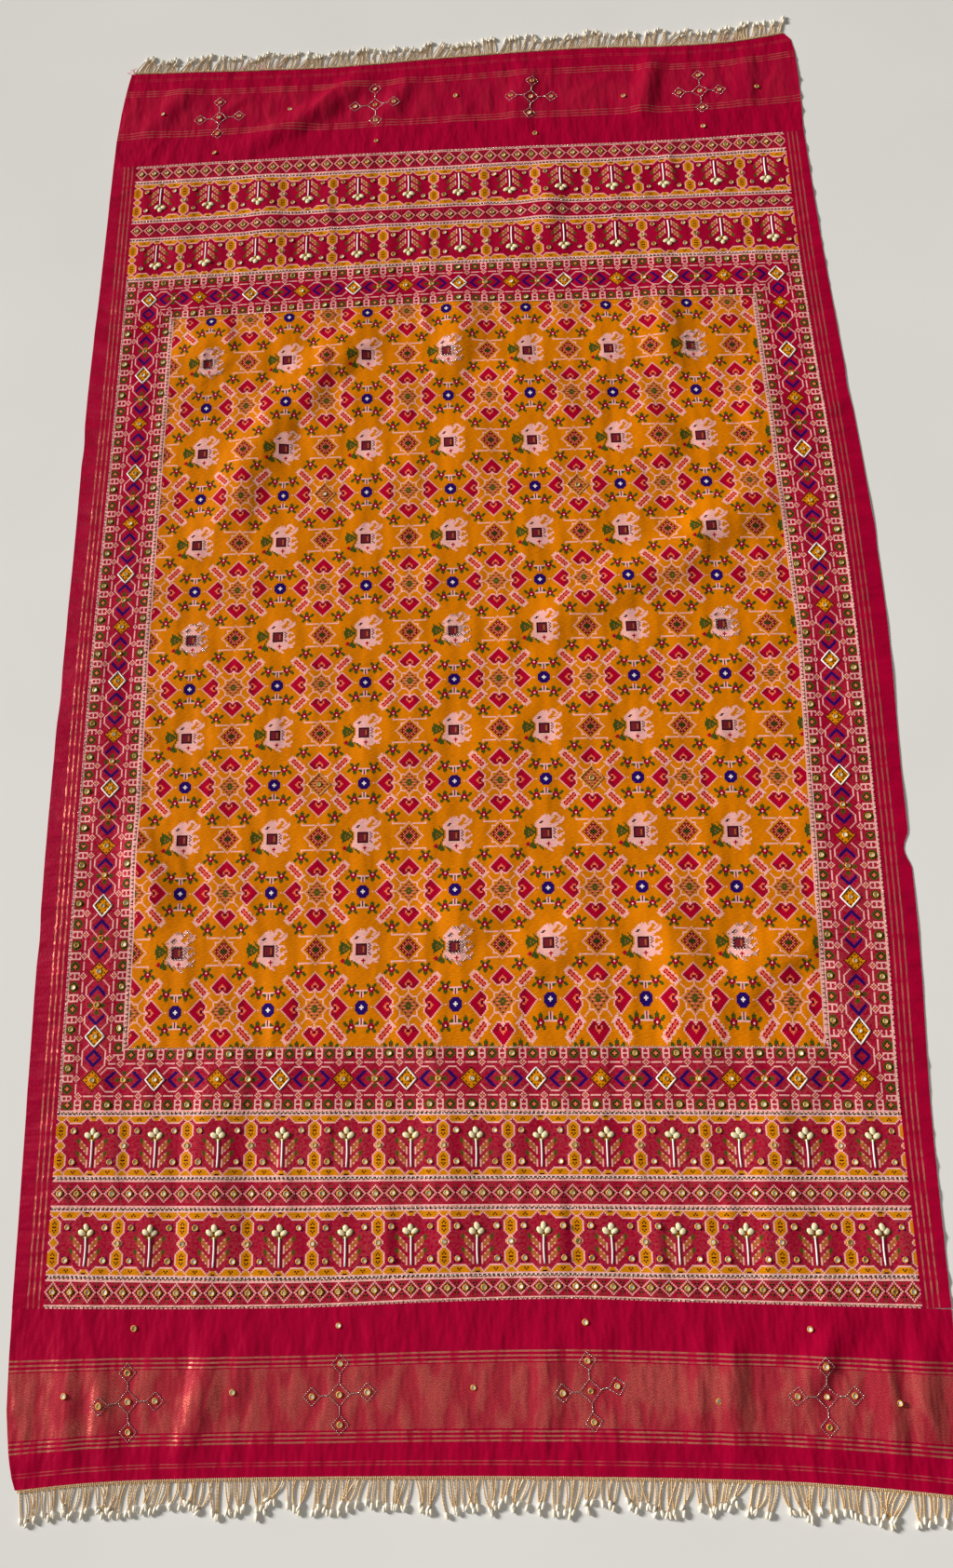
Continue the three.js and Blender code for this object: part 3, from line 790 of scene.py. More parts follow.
def yarn_colours(ground):
    shades = dict(yarns)
    shades["."] = ground
    return [linear(shades[letter]) for letter in LETTERS]


# %% [markdown]
# Silk shines along its threads. The weave gives a fine grain in colour and relief, dyed yarns differ a
# little from one pick to the next, and the crimson ground has a rose-gold metal yarn in it, which
# shines where it mirrors a lamp. The amount of that metal yarn is painted light as well: the near bands
# get ten times as much as the far ones, a painted sheen at the near end and painted shade at the far
# end. So the same cloth looks dusty pink in one place and deep crimson in another.
# %% Silk finish
ROSE_GOLD = linear("#C8665A")
SILK_ROUGHNESS = 0.5
SILK_SPECULAR = 0.04
# painted sheen and painted shade: the metal yarn's amount is set high in the near bands and low in the far
# ones
NEAR_ZARI_PAINTED_SHEEN, FAR_ZARI_PAINTED_SHADE = 0.3, 0.03


def silk(cloth, uv, code, ground, zari_and_painted_sheen):
    """Colours for a chart's numbers, with the grain of the weave and, on the ground, the metal yarn."""
    colour = cloth.steps(code, yarn_colours(ground))
    dye = cloth.noise(uv, 0.035, 1, (1.6, 0.5, 1))
    pick = cloth.noise(uv, 0.9, 0, (0.3, 2.2, 1))
    shaded = cloth.scaled(colour, dye * 0.34 + pick * 0.34 + 0.66)
    if zari_and_painted_sheen:
        fleck = ((cloth.noise(uv, 0.55, 1) - 0.36) * 3.2 * zari_and_painted_sheen).most(0.0).least(zari_and_painted_sheen)
        metal = (code < 0.5) * fleck * (dye * 2.6 - 0.5).most(0.2)
        # the rose-gold colour is the yarn's own; its amount per band carries the painted sheen
        shaded = cloth.blend(metal, shaded, ROSE_GOLD)
    else:
        metal = 0.0
    relief = cloth.raised(dye * 2.0 + pick * 0.25, 0.003, 0.8)
    return cloth.finish(colour=shaded, roughness=SILK_ROUGHNESS - pick * 0.08, metal=metal,
                        normal=relief, specular=SILK_SPECULAR)


def field_material():
    cloth = Cloth("patola_field")
    u, v, uv = cloth.grid()
    c = (u - FRAME_WIDE + 1).floor() % STAR_PITCH_ACROSS
    r = (v - MARK["star row 1"]).floor() % STAR_PITCH
    code = lookup(cloth, field_chart, c.least(STAR_PITCH_ACROSS - c), r.least(STAR_PITCH - r))
    # the elephant's own box, from the middle between four stars
    ec = (c - (STAR_PITCH_ACROSS // 2 + ELEPHANT_LEFT)) % STAR_PITCH_ACROSS
    er = ((STAR_PITCH // 2 + ELEPHANT_TOP) - r) % STAR_PITCH
    inside = (ec < ELEPHANT_WIDE - 0.5) * (er < ELEPHANT_TALL - 0.5)
    column, row = ec.least(ELEPHANT_WIDE - 1), er.least(ELEPHANT_TALL - 1)
    beast = lookup(cloth, elephant_chart, column, row) * inside
    return silk(cloth, uv, code * (beast < 0.5) + beast, GROUND_OCHRE, 0)


PALE, DARK = LETTERS.index("p"), LETTERS.index("d")


def dots_of(along):
    """The dotted line between two bands: a dark cell, then two pale ones."""
    return (along % 3 > 0.5) * (PALE - DARK) + DARK


FRAME_CENTRE_ROW = (MARK["frame"] + MARK["frame end"] - 1) / 2
SIDE_PITCH = 43
SIDE_CHAINS = CHAIN_PITCH / SIDE_PITCH
# rows over which the frame's painted sheen fades out
PAINTED_SHEEN_FADE_ROWS = 1900


def frame_material():
    """All four sides of the frame. They meet on the diagonal, and each corner has its own diamond."""
    cloth = Cloth("patola_frame")
    u, v, uv = cloth.grid()
    c, r = u.floor(), v.floor()
    from_side = c.least((CELLS - 1) - c)
    from_end = (r - MARK["frame"]).least((MARK["frame end"] - 1) - r)
    side = from_side < from_end
    across = from_side.least(from_end)
    along_end = (c - (CELLS - 1) / 2).size() - 0.5
    along_side = ((r - FRAME_CENTRE_ROW).size() * SIDE_CHAINS).floor()
    along = along_end * (1 - side) + along_side * side
    off = (across - FRAME_MIDDLE).size()
    to_corner = (from_end - FRAME_MIDDLE).size() + (1 - side) * CHAIN_PITCH
    along_chain = fold(along + side * (CHAIN_PITCH / 2), CHAIN_PITCH).least(to_corner)
    last_row, last_column = chain_chart.shape[0] - 1, chain_chart.shape[1] - 1
    chain = lookup(cloth, chain_chart, along_chain.least(last_column), off.least(last_row))
    chain = chain * (off < last_row + 0.5)
    figure_row = (off - FIGURE_FIRST).most(0).least(len(figure_chart) - 1)
    figures = lookup(cloth, figure_chart, fold(along, FIGURE_PITCH), figure_row)
    figures = figures * off.within(FIGURE_FIRST - 0.5, FIGURE_FIRST + len(figure_chart) - 0.5)
    # the inner rim of the frame: one pale line at the ends, two round a dotted pair at the sides
    inner_pale = across.equals(FRAME_WIDE - 4) + across.equals(FRAME_WIDE - 1)
    pale = across.equals(1) + across.equals(FRAME_TALL - 1) * (1 - side) + side * inner_pale
    dotted = across.equals(0) + side * (across.equals(FRAME_WIDE - 3) + across.equals(FRAME_WIDE - 2))
    code = (chain + figures) * (1 - pale) * (1 - dotted) + pale * PALE + dotted * dots_of(along)
    # painted sheen: less of the metal yarn shows towards the far end, as painted shade there
    zari_and_painted_sheen = ((MARK["field end"] - v) / PAINTED_SHEEN_FADE_ROWS).most(0.02).least(NEAR_ZARI_PAINTED_SHEEN)
    return silk(cloth, uv, code, GROUND_CRIMSON, zari_and_painted_sheen)


TREE_CENTRE = 289


def tree_material(name, first, flipped):
    """A band of trees, with its bases towards the cloth's end."""
    cloth = Cloth(name)
    u, v, uv = cloth.grid()
    row = v.floor() - first
    row = (TREES - 1 - row) if flipped else row
    row = row.most(0).least(TREES - 1)
    code = lookup(cloth, tree_chart, fold(u.floor() - TREE_CENTRE, TREE_PITCH), row)
    # painted sheen near, painted shade far: the far trees get much less metal yarn
    return silk(cloth, uv, code, GROUND_CRIMSON, FAR_ZARI_PAINTED_SHADE if flipped else NEAR_ZARI_PAINTED_SHEEN)


def diamond_material(name, low, high):
    cloth = Cloth(name)
    u, v, uv = cloth.grid()
    c, r = u.floor(), v.floor()
    away = (r - (low + high) // 2).size()
    last_row = len(diamond_chart) - 1
    column = fold(c - DIAMOND_FIRST, DIAMOND_PITCH)
    code = lookup(cloth, diamond_chart, column, away.least(last_row)) * (away < last_row + 0.5)
    from_line = (r - low).least(high - 1 - r)
    pale, dotted = from_line.equals(1), from_line.equals(0)
    code = code * (from_line > 1.5) + pale * PALE + dotted * dots_of(c)
    # painted sheen near, painted shade far: the far chains get much less metal yarn
    return silk(cloth, uv, code, GROUND_CRIMSON, FAR_ZARI_PAINTED_SHADE if low > MARK["field"] else NEAR_ZARI_PAINTED_SHEEN)


# %% [markdown]
# The end panels and side strips are plain crimson silk. Metal yarns make stripes in it, and at each end a
# wide band of tissue. How much of that metal shows is painted light: the near end gets more than the far
# end, the tissue glints only on the crests of its crumples, and the hollows of the crumples are painted
# darker as shade. The grid of these pieces is in millimetres: across, and away from the seam.
# %% Plain silk with metal stripes
STRIPE_PINK = linear("#C9775F")
PLAIN_CRIMSON = linear("#A4002E")[:3]


def plain_material(name, stripes, tissue=None, tissue_painted_sheen=0.0):
    """stripes: (distance, half width, strength), in millimetres along the piece's second coordinate."""
    cloth = Cloth(name)
    _, v, uv = cloth.grid()
    lines = None
    for at, half, strength in stripes:
        term = ((v - at).size() < half) * strength
        lines = term if lines is None else lines.most(term)
    broken = cloth.noise(uv, 0.08, 1, (1, 0.2, 1))
    pick = cloth.noise(uv, 0.8, 0, (0.25, 2.0, 1))
    crumple = cloth.noise(uv, 0.028, 2, (1.7, 0.6, 1))
    metal = lines * ((broken - 0.36) * 6).most(0.2).least(0.85)
    if tissue:
        fleck = cloth.noise(uv, 1.3, 1, (1, 0.7, 1))
        band = (v - (tissue[0] + tissue[1]) / 2).size() < (tissue[1] - tissue[0]) / 2
        # painted glint: the tissue's metal shows only on the crests of the crumples, and is taken off in
        # their hollows as painted shade
        painted_glint = ((crumple - 0.38) * 5).most(0.35).least(1.0)
        # painted sheen: the tissue's metal is scaled by the amount given for its end
        metal = metal.most(band * painted_glint * ((fleck - 0.4) * 4.5 * tissue_painted_sheen).most(0.0).least(tissue_painted_sheen))
    # painted shade: the crumple noise darkens the silk in the hollows of its own bump
    shaded = cloth.scaled(PLAIN_CRIMSON, crumple * 0.34 + pick * 0.2 + 0.73)
    relief = cloth.raised(crumple * 1.4 + pick * 0.1, 0.005, 0.6)
    return cloth.finish(colour=cloth.blend(metal, shaded, STRIPE_PINK), roughness=0.46 - metal * 0.12,
                        metal=metal * 0.7, normal=relief, specular=SILK_SPECULAR)


# %% [markdown]
# A sheet is a grid of places, lifted by the folds, with a thin wall. The same function makes every piece
# of cloth: it takes the places and the weave coordinates, and closes the wall round its rim. The rim is
# marked sharp so that the smooth face keeps its own shading.
# %% Making a sheet
THICK = 0.9
STEP = 6.5
triangles = {}


def new_mesh(name, verts, faces, material, smooth=True):
    """A mesh of one material, from places in millimetres."""
    mesh = bpy.data.meshes.new(name)
    mesh.from_pydata((np.asarray(verts, float) * MM).tolist(), [], faces)
    mesh.polygons.foreach_set("use_smooth", np.full(len(faces), smooth))
    mesh.materials.append(material)
    mesh.update()
    return mesh


def add_piece(name, mesh):
    piece = bpy.data.objects.new(name, mesh)
    bpy.context.scene.collection.objects.link(piece)
    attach(piece, "root")
    triangles[name] = sum(len(p.vertices) - 2 for p in mesh.polygons)
    return piece


def sheet_mesh(name, x, y, u, v, material, node):
    rows, columns = x.shape
    low = height(x, y)
    count = rows * columns
    verts = np.concatenate([
        np.stack([x, y, low + THICK], -1).reshape(-1, 3),
        np.stack([x, y, low], -1).reshape(-1, 3),
    ])
    j, i = np.mgrid[0:rows - 1, 0:columns - 1]
    a = (j * columns + i).ravel()
    top = np.stack([a, a + 1, a + columns + 1, a + columns], -1)
    under = np.stack([a, a + columns, a + columns + 1, a + 1], -1) + count
    ring = np.concatenate([
        np.arange(columns - 1),
        np.arange(rows - 1) * columns + columns - 1,
        (rows - 1) * columns + np.arange(columns - 1, 0, -1),
        np.arange(rows - 1, 0, -1) * columns,
    ])
    after = np.roll(ring, -1)
    rim = np.stack([ring, ring + count, after + count, after], -1)
    faces = np.concatenate([top, under, rim])
    mesh = new_mesh(name, verts, faces.tolist(), material)
    layer = mesh.uv_layers.new(name="cells")
    pairs = np.stack([u, v], -1).reshape(-1, 2)
    pairs = np.concatenate([pairs, pairs])
    layer.data.foreach_set("uv", pairs[faces.ravel()].astype(np.float32).ravel())
    rims = set(ring.tolist())
    sharp = np.zeros(len(mesh.edges), bool)
    for edge in mesh.edges:
        p, q = edge.vertices
        if (p % count) in rims and (q % count) in rims and (p < count) == (q < count):
            sharp[edge.index] = True
    mesh.attributes.new("sharp_edge", "BOOLEAN", "EDGE").data.foreach_set("value", sharp)
    piece = add_piece(name, mesh)
    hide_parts(node)


# %% [markdown]
# A plain pale floor carries the cloth.
# %% Floor
FLOOR_HALF = 6000
corners = [(x * FLOOR_HALF, y * FLOOR_HALF, 0) for x, y in ((-1, -1), (1, -1), (1, 1), (-1, 1))]
stone = Cloth("floor_stone")
stone_at = stone.node("ShaderNodeTexCoord").outputs["Object"]
stone_colour = stone.blend(stone.noise(stone_at, 3.0, 4), linear("#E2DFD8"), linear("#EDEAE4"))
stone_look = stone.finish(colour=stone_colour, roughness=0.5, specular=0.25)
floor = bpy.data.objects.new("floor", new_mesh("floor", corners, [(0, 1, 2, 3)], stone_look, False))
bpy.context.scene.collection.objects.link(floor)

# %% [markdown]
# The woven panel is one length of silk. It is shown as adjoining sheets, cut along the lines of its own
# pattern, so that each band has its own small material and prints sharply when the model is exported.
# %% The woven panel
CELL_MM = 1.82


def woven(name, c0, c1, r0, r1, material):
    columns = max(3, round((c1 - c0) * CELL_MM / STEP) + 1)
    rows = max(3, round((r1 - r0) * CELL_MM / STEP) + 1)
    r, c = np.meshgrid(np.linspace(r0, r1, rows), np.linspace(c0, c1, columns), indexing="ij")
    x, y = cell_place(c, r)
    sheet_mesh(name, x, y, c, r, material, "patola_panel")


field_look = field_material()
FIELD_PARTS = 3
field_rows = np.linspace(MARK["field"], MARK["field end"], FIELD_PARTS + 1)
for k in range(FIELD_PARTS):
    woven(f"field_{k + 1}", FRAME_WIDE, FIELD_RIGHT, field_rows[k], field_rows[k + 1], field_look)
frame_look = frame_material()
woven("frame_left", 0, FRAME_WIDE, MARK["field"], MARK["field end"], frame_look)
woven("frame_right", FIELD_RIGHT, CELLS, MARK["field"], MARK["field end"], frame_look)
woven("frame_near", 0, CELLS, MARK["frame"], MARK["field"], frame_look)
woven("frame_far", 0, CELLS, MARK["field end"], MARK["frame end"], frame_look)
tree_bands = [
    # name, first mark, last mark, turned round
    ("trees_near_lower", "lower trees", "inner chain", False),
    ("trees_near_upper", "upper trees", "frame", False),
    ("trees_far_upper", "frame end", "upper trees end", True),
    ("trees_far_lower", "inner chain end", "lower trees end", True),
]
for name, low, high, turned_round in tree_bands:
    woven(name, 0, CELLS, MARK[low], MARK[high], tree_material(name, MARK[low], turned_round))
diamond_bands = [
    # name, first mark, last mark
    ("diamonds_near_end", "near seam", "lower trees"),
    ("diamonds_near", "inner chain", "upper trees"),
    ("diamonds_far", "upper trees end", "inner chain end"),
    ("diamonds_far_end", "lower trees end", "far seam"),
]
for name, low, high in diamond_bands:
    woven(name, 0, CELLS, MARK[low], MARK[high], diamond_material(name, MARK[low], MARK[high]))
print("woven sheets", len(triangles))

# %% [markdown]
# The side strips and the end panels are sewn to the woven panel. Each is cut from plain silk as a long
# rectangle.
# %% The side strips and the end panels
STRIP_LENGTH = 1713
STRIP_COLUMNS = 8
STRIPE_HALF, HEM_STRIPE_HALF = 1.0, 0.6
STRIP_STRIPES = [(at, STRIPE_HALF, 1.0) for at in (6.0, 12.8, 19.4)]
for side, is_right, width in (("left", False, 0.040), ("right", True, 0.038)):
    rows = round(STRIP_LENGTH / STEP) + 1
    stations = np.linspace(0, ROWS, rows), np.linspace(0, 1, STRIP_COLUMNS)
    r, across = np.meshgrid(*stations, indexing="ij")
    if not is_right:
        across = across[:, ::-1]
    x, y = strip_place(is_right, across, r)
    inner_distance = np.abs(x - strip_place(is_right, np.zeros_like(r), r)[0])
    look = plain_material(f"strip_{side}", STRIP_STRIPES)
    sheet_mesh(f"strip_{side}", x, y, r * CELL_MM, inner_distance, look,
               f"side_strip_{side}")

END_STRIPES = [55.5, 60.5, 65.5, 140, 144.8, 149.5]
HEM_STRIPES = [170.5, 174]
# painted sheen near, painted shade far: the far end's stripes and tissue get far less metal than the near
# end's
STRIPES_PAINTED_SHEEN = {"near": 1.0, "far": 0.4}
HEM_SHOWN = 0.4
TISSUE = (68, 137)
TISSUE_PAINTED_SHEEN = {"near": 0.8, "far": 0.06}
END_LENGTH, END_WIDTH = 186, 1105
for end in ("near", "far"):
    rows = round(END_LENGTH / STEP) + 1
    columns = round(END_WIDTH / STEP) + 1
    stations = np.linspace(0, 1, rows), np.linspace(0, 1, columns)
    along, across = np.meshgrid(*stations, indexing="ij")
    if end == "near":
        along = along[::-1]
    x, y = end_place(end, across, along)
    stripes = [(at, STRIPE_HALF, STRIPES_PAINTED_SHEEN[end]) for at in END_STRIPES]
    stripes += [(at, HEM_STRIPE_HALF, STRIPES_PAINTED_SHEEN[end] * HEM_SHOWN) for at in HEM_STRIPES]
    look = plain_material(f"end_{end}", stripes, TISSUE, TISSUE_PAINTED_SHEEN[end])
    sheet_mesh(f"end_{end}", x, y, x, along * END_LENGTH, look, f"end_panel_{end}")

# %% [markdown]
# Small sewn things are all copies of a few tiny shapes: a bead, a mirror disc, its ring of gold thread, a
# padded petal, a pearl drop. Each kind is one joined mesh, worked out from arrays of places, sizes and
# turns.
# %% Tiny shapes


def ball(around, levels):
    """A closed ball of radius 1 with few faces."""
    verts = [(0, 0, -1)]
    for k in range(1, levels):
        a = math.pi * k / levels
        verts += [(math.sin(a) * math.cos(t), math.sin(a) * math.sin(t), -math.cos(a))
                  for t in np.arange(around) * 2 * math.pi / around]
    verts.append((0, 0, 1))
    last = len(verts) - 1
    faces = [(0, 1 + (i + 1) % around, 1 + i) for i in range(around)]
    for k in range(levels - 2):
        base = 1 + k * around
        for i in range(around):
            here, beside = base + i, base + (i + 1) % around
            faces += [(here, beside, beside + around), (here, beside + around, here + around)]
    faces += [(last - around + i, last - around + (i + 1) % around, last) for i in range(around)]
    return np.array(verts), np.array(faces)


def disc(around):
    """A thin closed plate of radius 1 from z 0 to 1."""
    t = np.arange(around) * 2 * math.pi / around
    rim = np.stack([np.cos(t), np.sin(t)], -1)
    verts = [(x, y, z) for z in (0, 1) for x, y in rim] + [(0, 0, 0), (0, 0, 1)]
    faces = []
    for i in range(around):
        j = (i + 1) % around
        faces += [(i, j, around + j), (i, around + j, around + i), (2 * around, j, i),
                  (2 * around + 1, around + i, around + j)]
    return np.array(verts, float), np.array(faces)


def ring_shape(around, sides, thickness):
    """A ring of radius 1, flat on z 0."""
    verts, faces = [], []
    for i in range(around):
        t = 2 * math.pi * i / around
        for k in range(sides):
            a = 2 * math.pi * k / sides
            radius = 1 + thickness * math.cos(a)
            verts.append((radius * math.cos(t), radius * math.sin(t), thickness * (1 + math.sin(a))))
            here, ahead, m = i * sides, (i + 1) % around * sides, (k + 1) % sides
            faces += [(here + k, ahead + k, ahead + m), (here + k, ahead + m, here + m)]
    return np.array(verts), np.array(faces)


def turned(spin, tip_x=0.0, tip_y=0.0):
    """Turning matrices: a spin about z, then a small tip. Arrays in, one matrix each out."""
    def about(axis, angle):
        angle = np.atleast_1d(angle)
        i, j = (axis + 1) % 3, (axis + 2) % 3
        matrix = np.zeros((len(angle), 3, 3))
        matrix[:, axis, axis] = 1
        matrix[:, i, i] = matrix[:, j, j] = np.cos(angle)
        matrix[:, j, i] = np.sin(angle)
        matrix[:, i, j] = -np.sin(angle)
        return matrix

    return about(1, tip_y) @ about(0, tip_x) @ about(2, spin)


def copies(name, shape, places, sizes, turns, material, smooth=True):
    """One joined mesh with a copy of shape at each place."""
    verts, faces = shape
    places = np.asarray(places, float)
    sizes = np.broadcast_to(np.asarray(sizes, float), places.shape)
    turns = np.broadcast_to(turns, (len(places), 3, 3))
    spread = np.einsum("nij,nvj->nvi", turns, verts[None] * sizes[:, None]) + places[:, None]
    starts = (np.arange(len(places)) * len(verts))[:, None, None]
    all_faces = (faces[None] + starts).reshape(-1, faces.shape[1]).tolist()
    return add_piece(name, new_mesh(name, spread.reshape(-1, 3), all_faces, material, smooth))


def cords(name, paths, radius, sides, material):
    """Soft cords along paths of places. The radius is one number, or one for each place of a path."""
    verts, faces = [], []
    angles = (np.arange(sides) * 2 * math.pi / sides)[None, :, None]
    for path in paths:
        path = np.asarray(path, float)
        ahead = np.gradient(path, axis=0)
        ahead /= np.linalg.norm(ahead, axis=1)[:, None]
        aside = np.cross(ahead, (0, 0, 1))
        aside /= np.linalg.norm(aside, axis=1)[:, None]
        above = np.cross(aside, ahead)
        spokes = np.cos(angles) * aside[:, None] + np.sin(angles) * above[:, None]
        width = np.broadcast_to(radius, len(path))[:, None, None]
        base = len(verts)
        verts += (path[:, None] + width * spokes).reshape(-1, 3).tolist()
        for k in range(len(path) - 1):
            for i in range(sides):
                j = (i + 1) % sides
                p = base + k * sides
                faces += [(p + i, p + sides + j, p + j), (p + i, p + sides + i, p + sides + j)]
        faces += [tuple(base + i for i in range(sides)),
                  tuple(base + (len(path) - 1) * sides + i for i in reversed(range(sides)))]
    return add_piece(name, new_mesh(name, verts, faces, material))


def on_cloth(x, y, above=0.0):
    """Places on top of the cloth."""
    x, y = np.asarray(x, float), np.asarray(y, float)
    return np.stack([x, y, height(x, y) + THICK + above], -1)


def at_cells(pairs, above=0.0):
    pairs = np.asarray(pairs, float)
    return on_cloth(*cell_place(pairs[:, 0], pairs[:, 1]), above)


# %% [markdown]
# Finishes of the sewn things: mirror glass with a painted reflection, gold and white thread, glass beads
# and pearl.
# %% Materials of the sewn things
RELIEF_DEPTH = 0.0004


def small_material(name, dark, light, scale, rough, metal, coat=0.0, strength=0.2):
    """A colour that wanders between two, with a little relief."""
    cloth = Cloth(name)
    at = cloth.node("ShaderNodeTexCoord").outputs["Object"]
    patch = cloth.noise(at, scale, 1)
    share = ((patch - 0.38) * 4).most(0.0).least(1.0)
    colour = cloth.blend(share, linear(dark), linear(light))
    relief = cloth.raised(patch, RELIEF_DEPTH, strength)
    return cloth.finish(colour=colour, roughness=rough + patch * 0.1, metal=metal, normal=relief, coat=coat)


# painted reflection: the mirrors' colour wanders from tan to white, with little real metal
mirror_painted_reflection = small_material("mirror_painted_reflection", "#A88F66", "#FFFFFF", 70, 0.12, 0.15, strength=0.04)
gold_thread = small_material("gold_thread", "#A8680E", "#FFCB5A", 1500, 0.45, 0.2)
white_thread = small_material("white_thread", "#F2ECE2", "#FFFFFF", 1800, 0.7, 0.0)
cream_petal = small_material("cream_petal", "#DCC690", "#FBF0C8", 700, 0.5, 0.0)
silver_bead = small_material("silver_bead", "#8E7F72", "#FFF6EA", 1300, 0.2, 0.8)
gold_bead = small_material("gold_bead", "#BE8444", "#F6D9A2", 1300, 0.32, 0.2, coat=0.3)
pearl = small_material("pearl", "#EBD9B8", "#FFF8E8", 260, 0.26, 0.0, coat=0.6)
pink_thread = small_material("pink_thread", "#D83A6C", "#F07A9C", 900, 0.8, 0.0)

# %% [markdown]
# Where the mirrors are. They follow the woven figures: the middle of each diamond and cross of the frame,
# every second ring on both sides of that chain, four places round each tree, the middle between two
# trees, each diamond of the small chains, and four of the stars. Every second diamond of the frame also
# gets a white cord round it.
# %% Places of the mirrors
FRAME_DIAMONDS = 7
RING_STEP = 2 * FIGURE_PITCH
CORNER_GAP = 4
mirrors, white_diamonds = [], []
chain_middle = CELLS / 2
frame_middle_row = FRAME_CENTRE_ROW + 0.5


def ring_steps(hand, reach):
    """Steps from the middle of a side to every second ring, as far as the corner."""
    return np.arange(0 if hand > 0 else RING_STEP, reach - CORNER_GAP, RING_STEP)


for row_of, odd in ((lambda a: MARK["frame"] + a + 0.5, 1), (lambda a: MARK["frame end"] - 0.5 - a, 0)):
    for hand in (-1, 1):
        for k in range(FRAME_DIAMONDS):
            place = (chain_middle + hand * (CHAIN_PITCH * k + 0.5), row_of(FRAME_MIDDLE))
            if k or hand > 0:
                mirrors.append(place)
                if k % 2 == odd:
                    white_diamonds.append(place)
            if k < FRAME_DIAMONDS - 1:
                mirrors.append((place[0] + hand * CHAIN_PITCH / 2, place[1]))
        for across in FIGURE_ROWS:
            for a in ring_steps(hand, chain_middle - across):
                mirrors.append((chain_middle + hand * (a + 0.5), row_of(across)))
for column_of in (lambda a: a + 0.5, lambda a: CELLS - 0.5 - a):
    for hand in (-1, 1):
        for k in range(FRAME_DIAMONDS):
            place = (column_of(FRAME_MIDDLE), frame_middle_row + hand * SIDE_PITCH * (k + 0.5))
            mirrors.append(place)
            if (k % 2 == 1) == (hand > 0):
                white_diamonds.append(place)
            if k or hand > 0:
                mirrors.append((place[0], frame_middle_row + hand * SIDE_PITCH * k))
        for across in FIGURE_ROWS:
            for a in ring_steps(hand, (FRAME_CENTRE_ROW - MARK["frame"] - across) * SIDE_CHAINS):
                mirrors.append((column_of(across), frame_middle_row + hand * (a + 0.5) / SIDE_CHAINS))
tree_columns = TREE_CENTRE + TREE_PITCH * np.arange(-6, 7) + 0.5


def tree_rows(low, high, turned_round):
    """From a tree chart's row to the weave's row."""
    return (lambda r: MARK[high] - r) if turned_round else (lambda r: MARK[low] + r)


for name, low, high, turned_round in tree_bands:
    row_of = tree_rows(low, high, turned_round)
    for c in tree_columns:
        mirrors += [(c + aside, row_of(r)) for aside in (-13, 13) for r in (30.5, 10.5)]
    mirrors += [(c, row_of(21)) for c in tree_columns[1:] - TREE_PITCH / 2]
for name, low, high in diamond_bands:
    row = (MARK[low] + MARK[high]) // 2 + 0.5
    mirrors += [(c + 0.5, row) for c in range(DIAMOND_FIRST, CELLS - CORNER_GAP, DIAMOND_PITCH)]
star_columns = FRAME_WIDE - 1 + STAR_PITCH_ACROSS * np.arange(1, 8) + 0.5
star_rows = MARK["star row 1"] + STAR_PITCH * np.arange(8) + 0.5
starred = [(star_columns[k], star_rows[j]) for k in (1, 4) for j in (2, 5)]
mirrors += starred
print(len(mirrors), "mirrors on the panel,", len(white_diamonds), "white diamonds")

# %% [markdown]
# On the end panels, mirrors sit in beaded medallions: a middle diamond and four small ones, joined by
# short links. Single mirrors are scattered between them. The places are written down as they lie on the
# floor, in millimetres.
# %% Medallions and single mirrors
medallions = [
    (-414, -953), (-165, -948), (126, -947), (393, -956), (-393, 952), (-136, 959), (117, 954),
    (387, 944),
]
single_mirrors = [
    (-489, -946), (-290, -944), (-9, -942), (271, -959), (473, -963), (-412, -874), (-167, -874),
    (123, -874), (381, -885), (-485, 963), (-276, 961), (-5, 967), (265, 944), (477, 945), (-397, 881),
    (-134, 885), (121, 880), (387, 873),
]
MEDALLION_HALF, PETAL_HALF, PETAL_AWAY = 12.5, 10, 32
medallion_beads, medallion_mirrors = [], []


def diamond_round(x, y, half, count, lean):
    """Places of beads round a slightly bent diamond."""
    places = []
    for k in range(count):
        corner = int(4 * k / count)
        share = 4 * k / count - corner
        near, far = corner * math.pi / 2 + lean, (corner + 1) * math.pi / 2 + lean
        places.append((x + half * (math.cos(near) * (1 - share) + math.cos(far) * share),
                       y + half * (math.sin(near) * (1 - share) + math.sin(far) * share)))
    return places


for x, y in medallions:
    lean = rng.uniform(-0.09, 0.09)
    medallion_beads += diamond_round(x, y, MEDALLION_HALF, 28, lean)
    medallion_mirrors.append((x, y))
    for k in range(4):
        a = k * math.pi / 2 + lean + rng.uniform(-0.07, 0.07)
        away = PETAL_AWAY + rng.uniform(-1.5, 1.5)
        px, py = x + away * math.cos(a), y + away * math.sin(a)
        medallion_beads += diamond_round(px, py, PETAL_HALF, 22, a + rng.uniform(-0.12, 0.12))
        medallion_mirrors.append((px, py))
        for share in np.linspace(MEDALLION_HALF + 1.5, away - PETAL_HALF - 1, 5):
            medallion_beads.append((x + share * math.cos(a), y + share * math.sin(a)))
print(len(medallion_beads), "beads on the medallions")

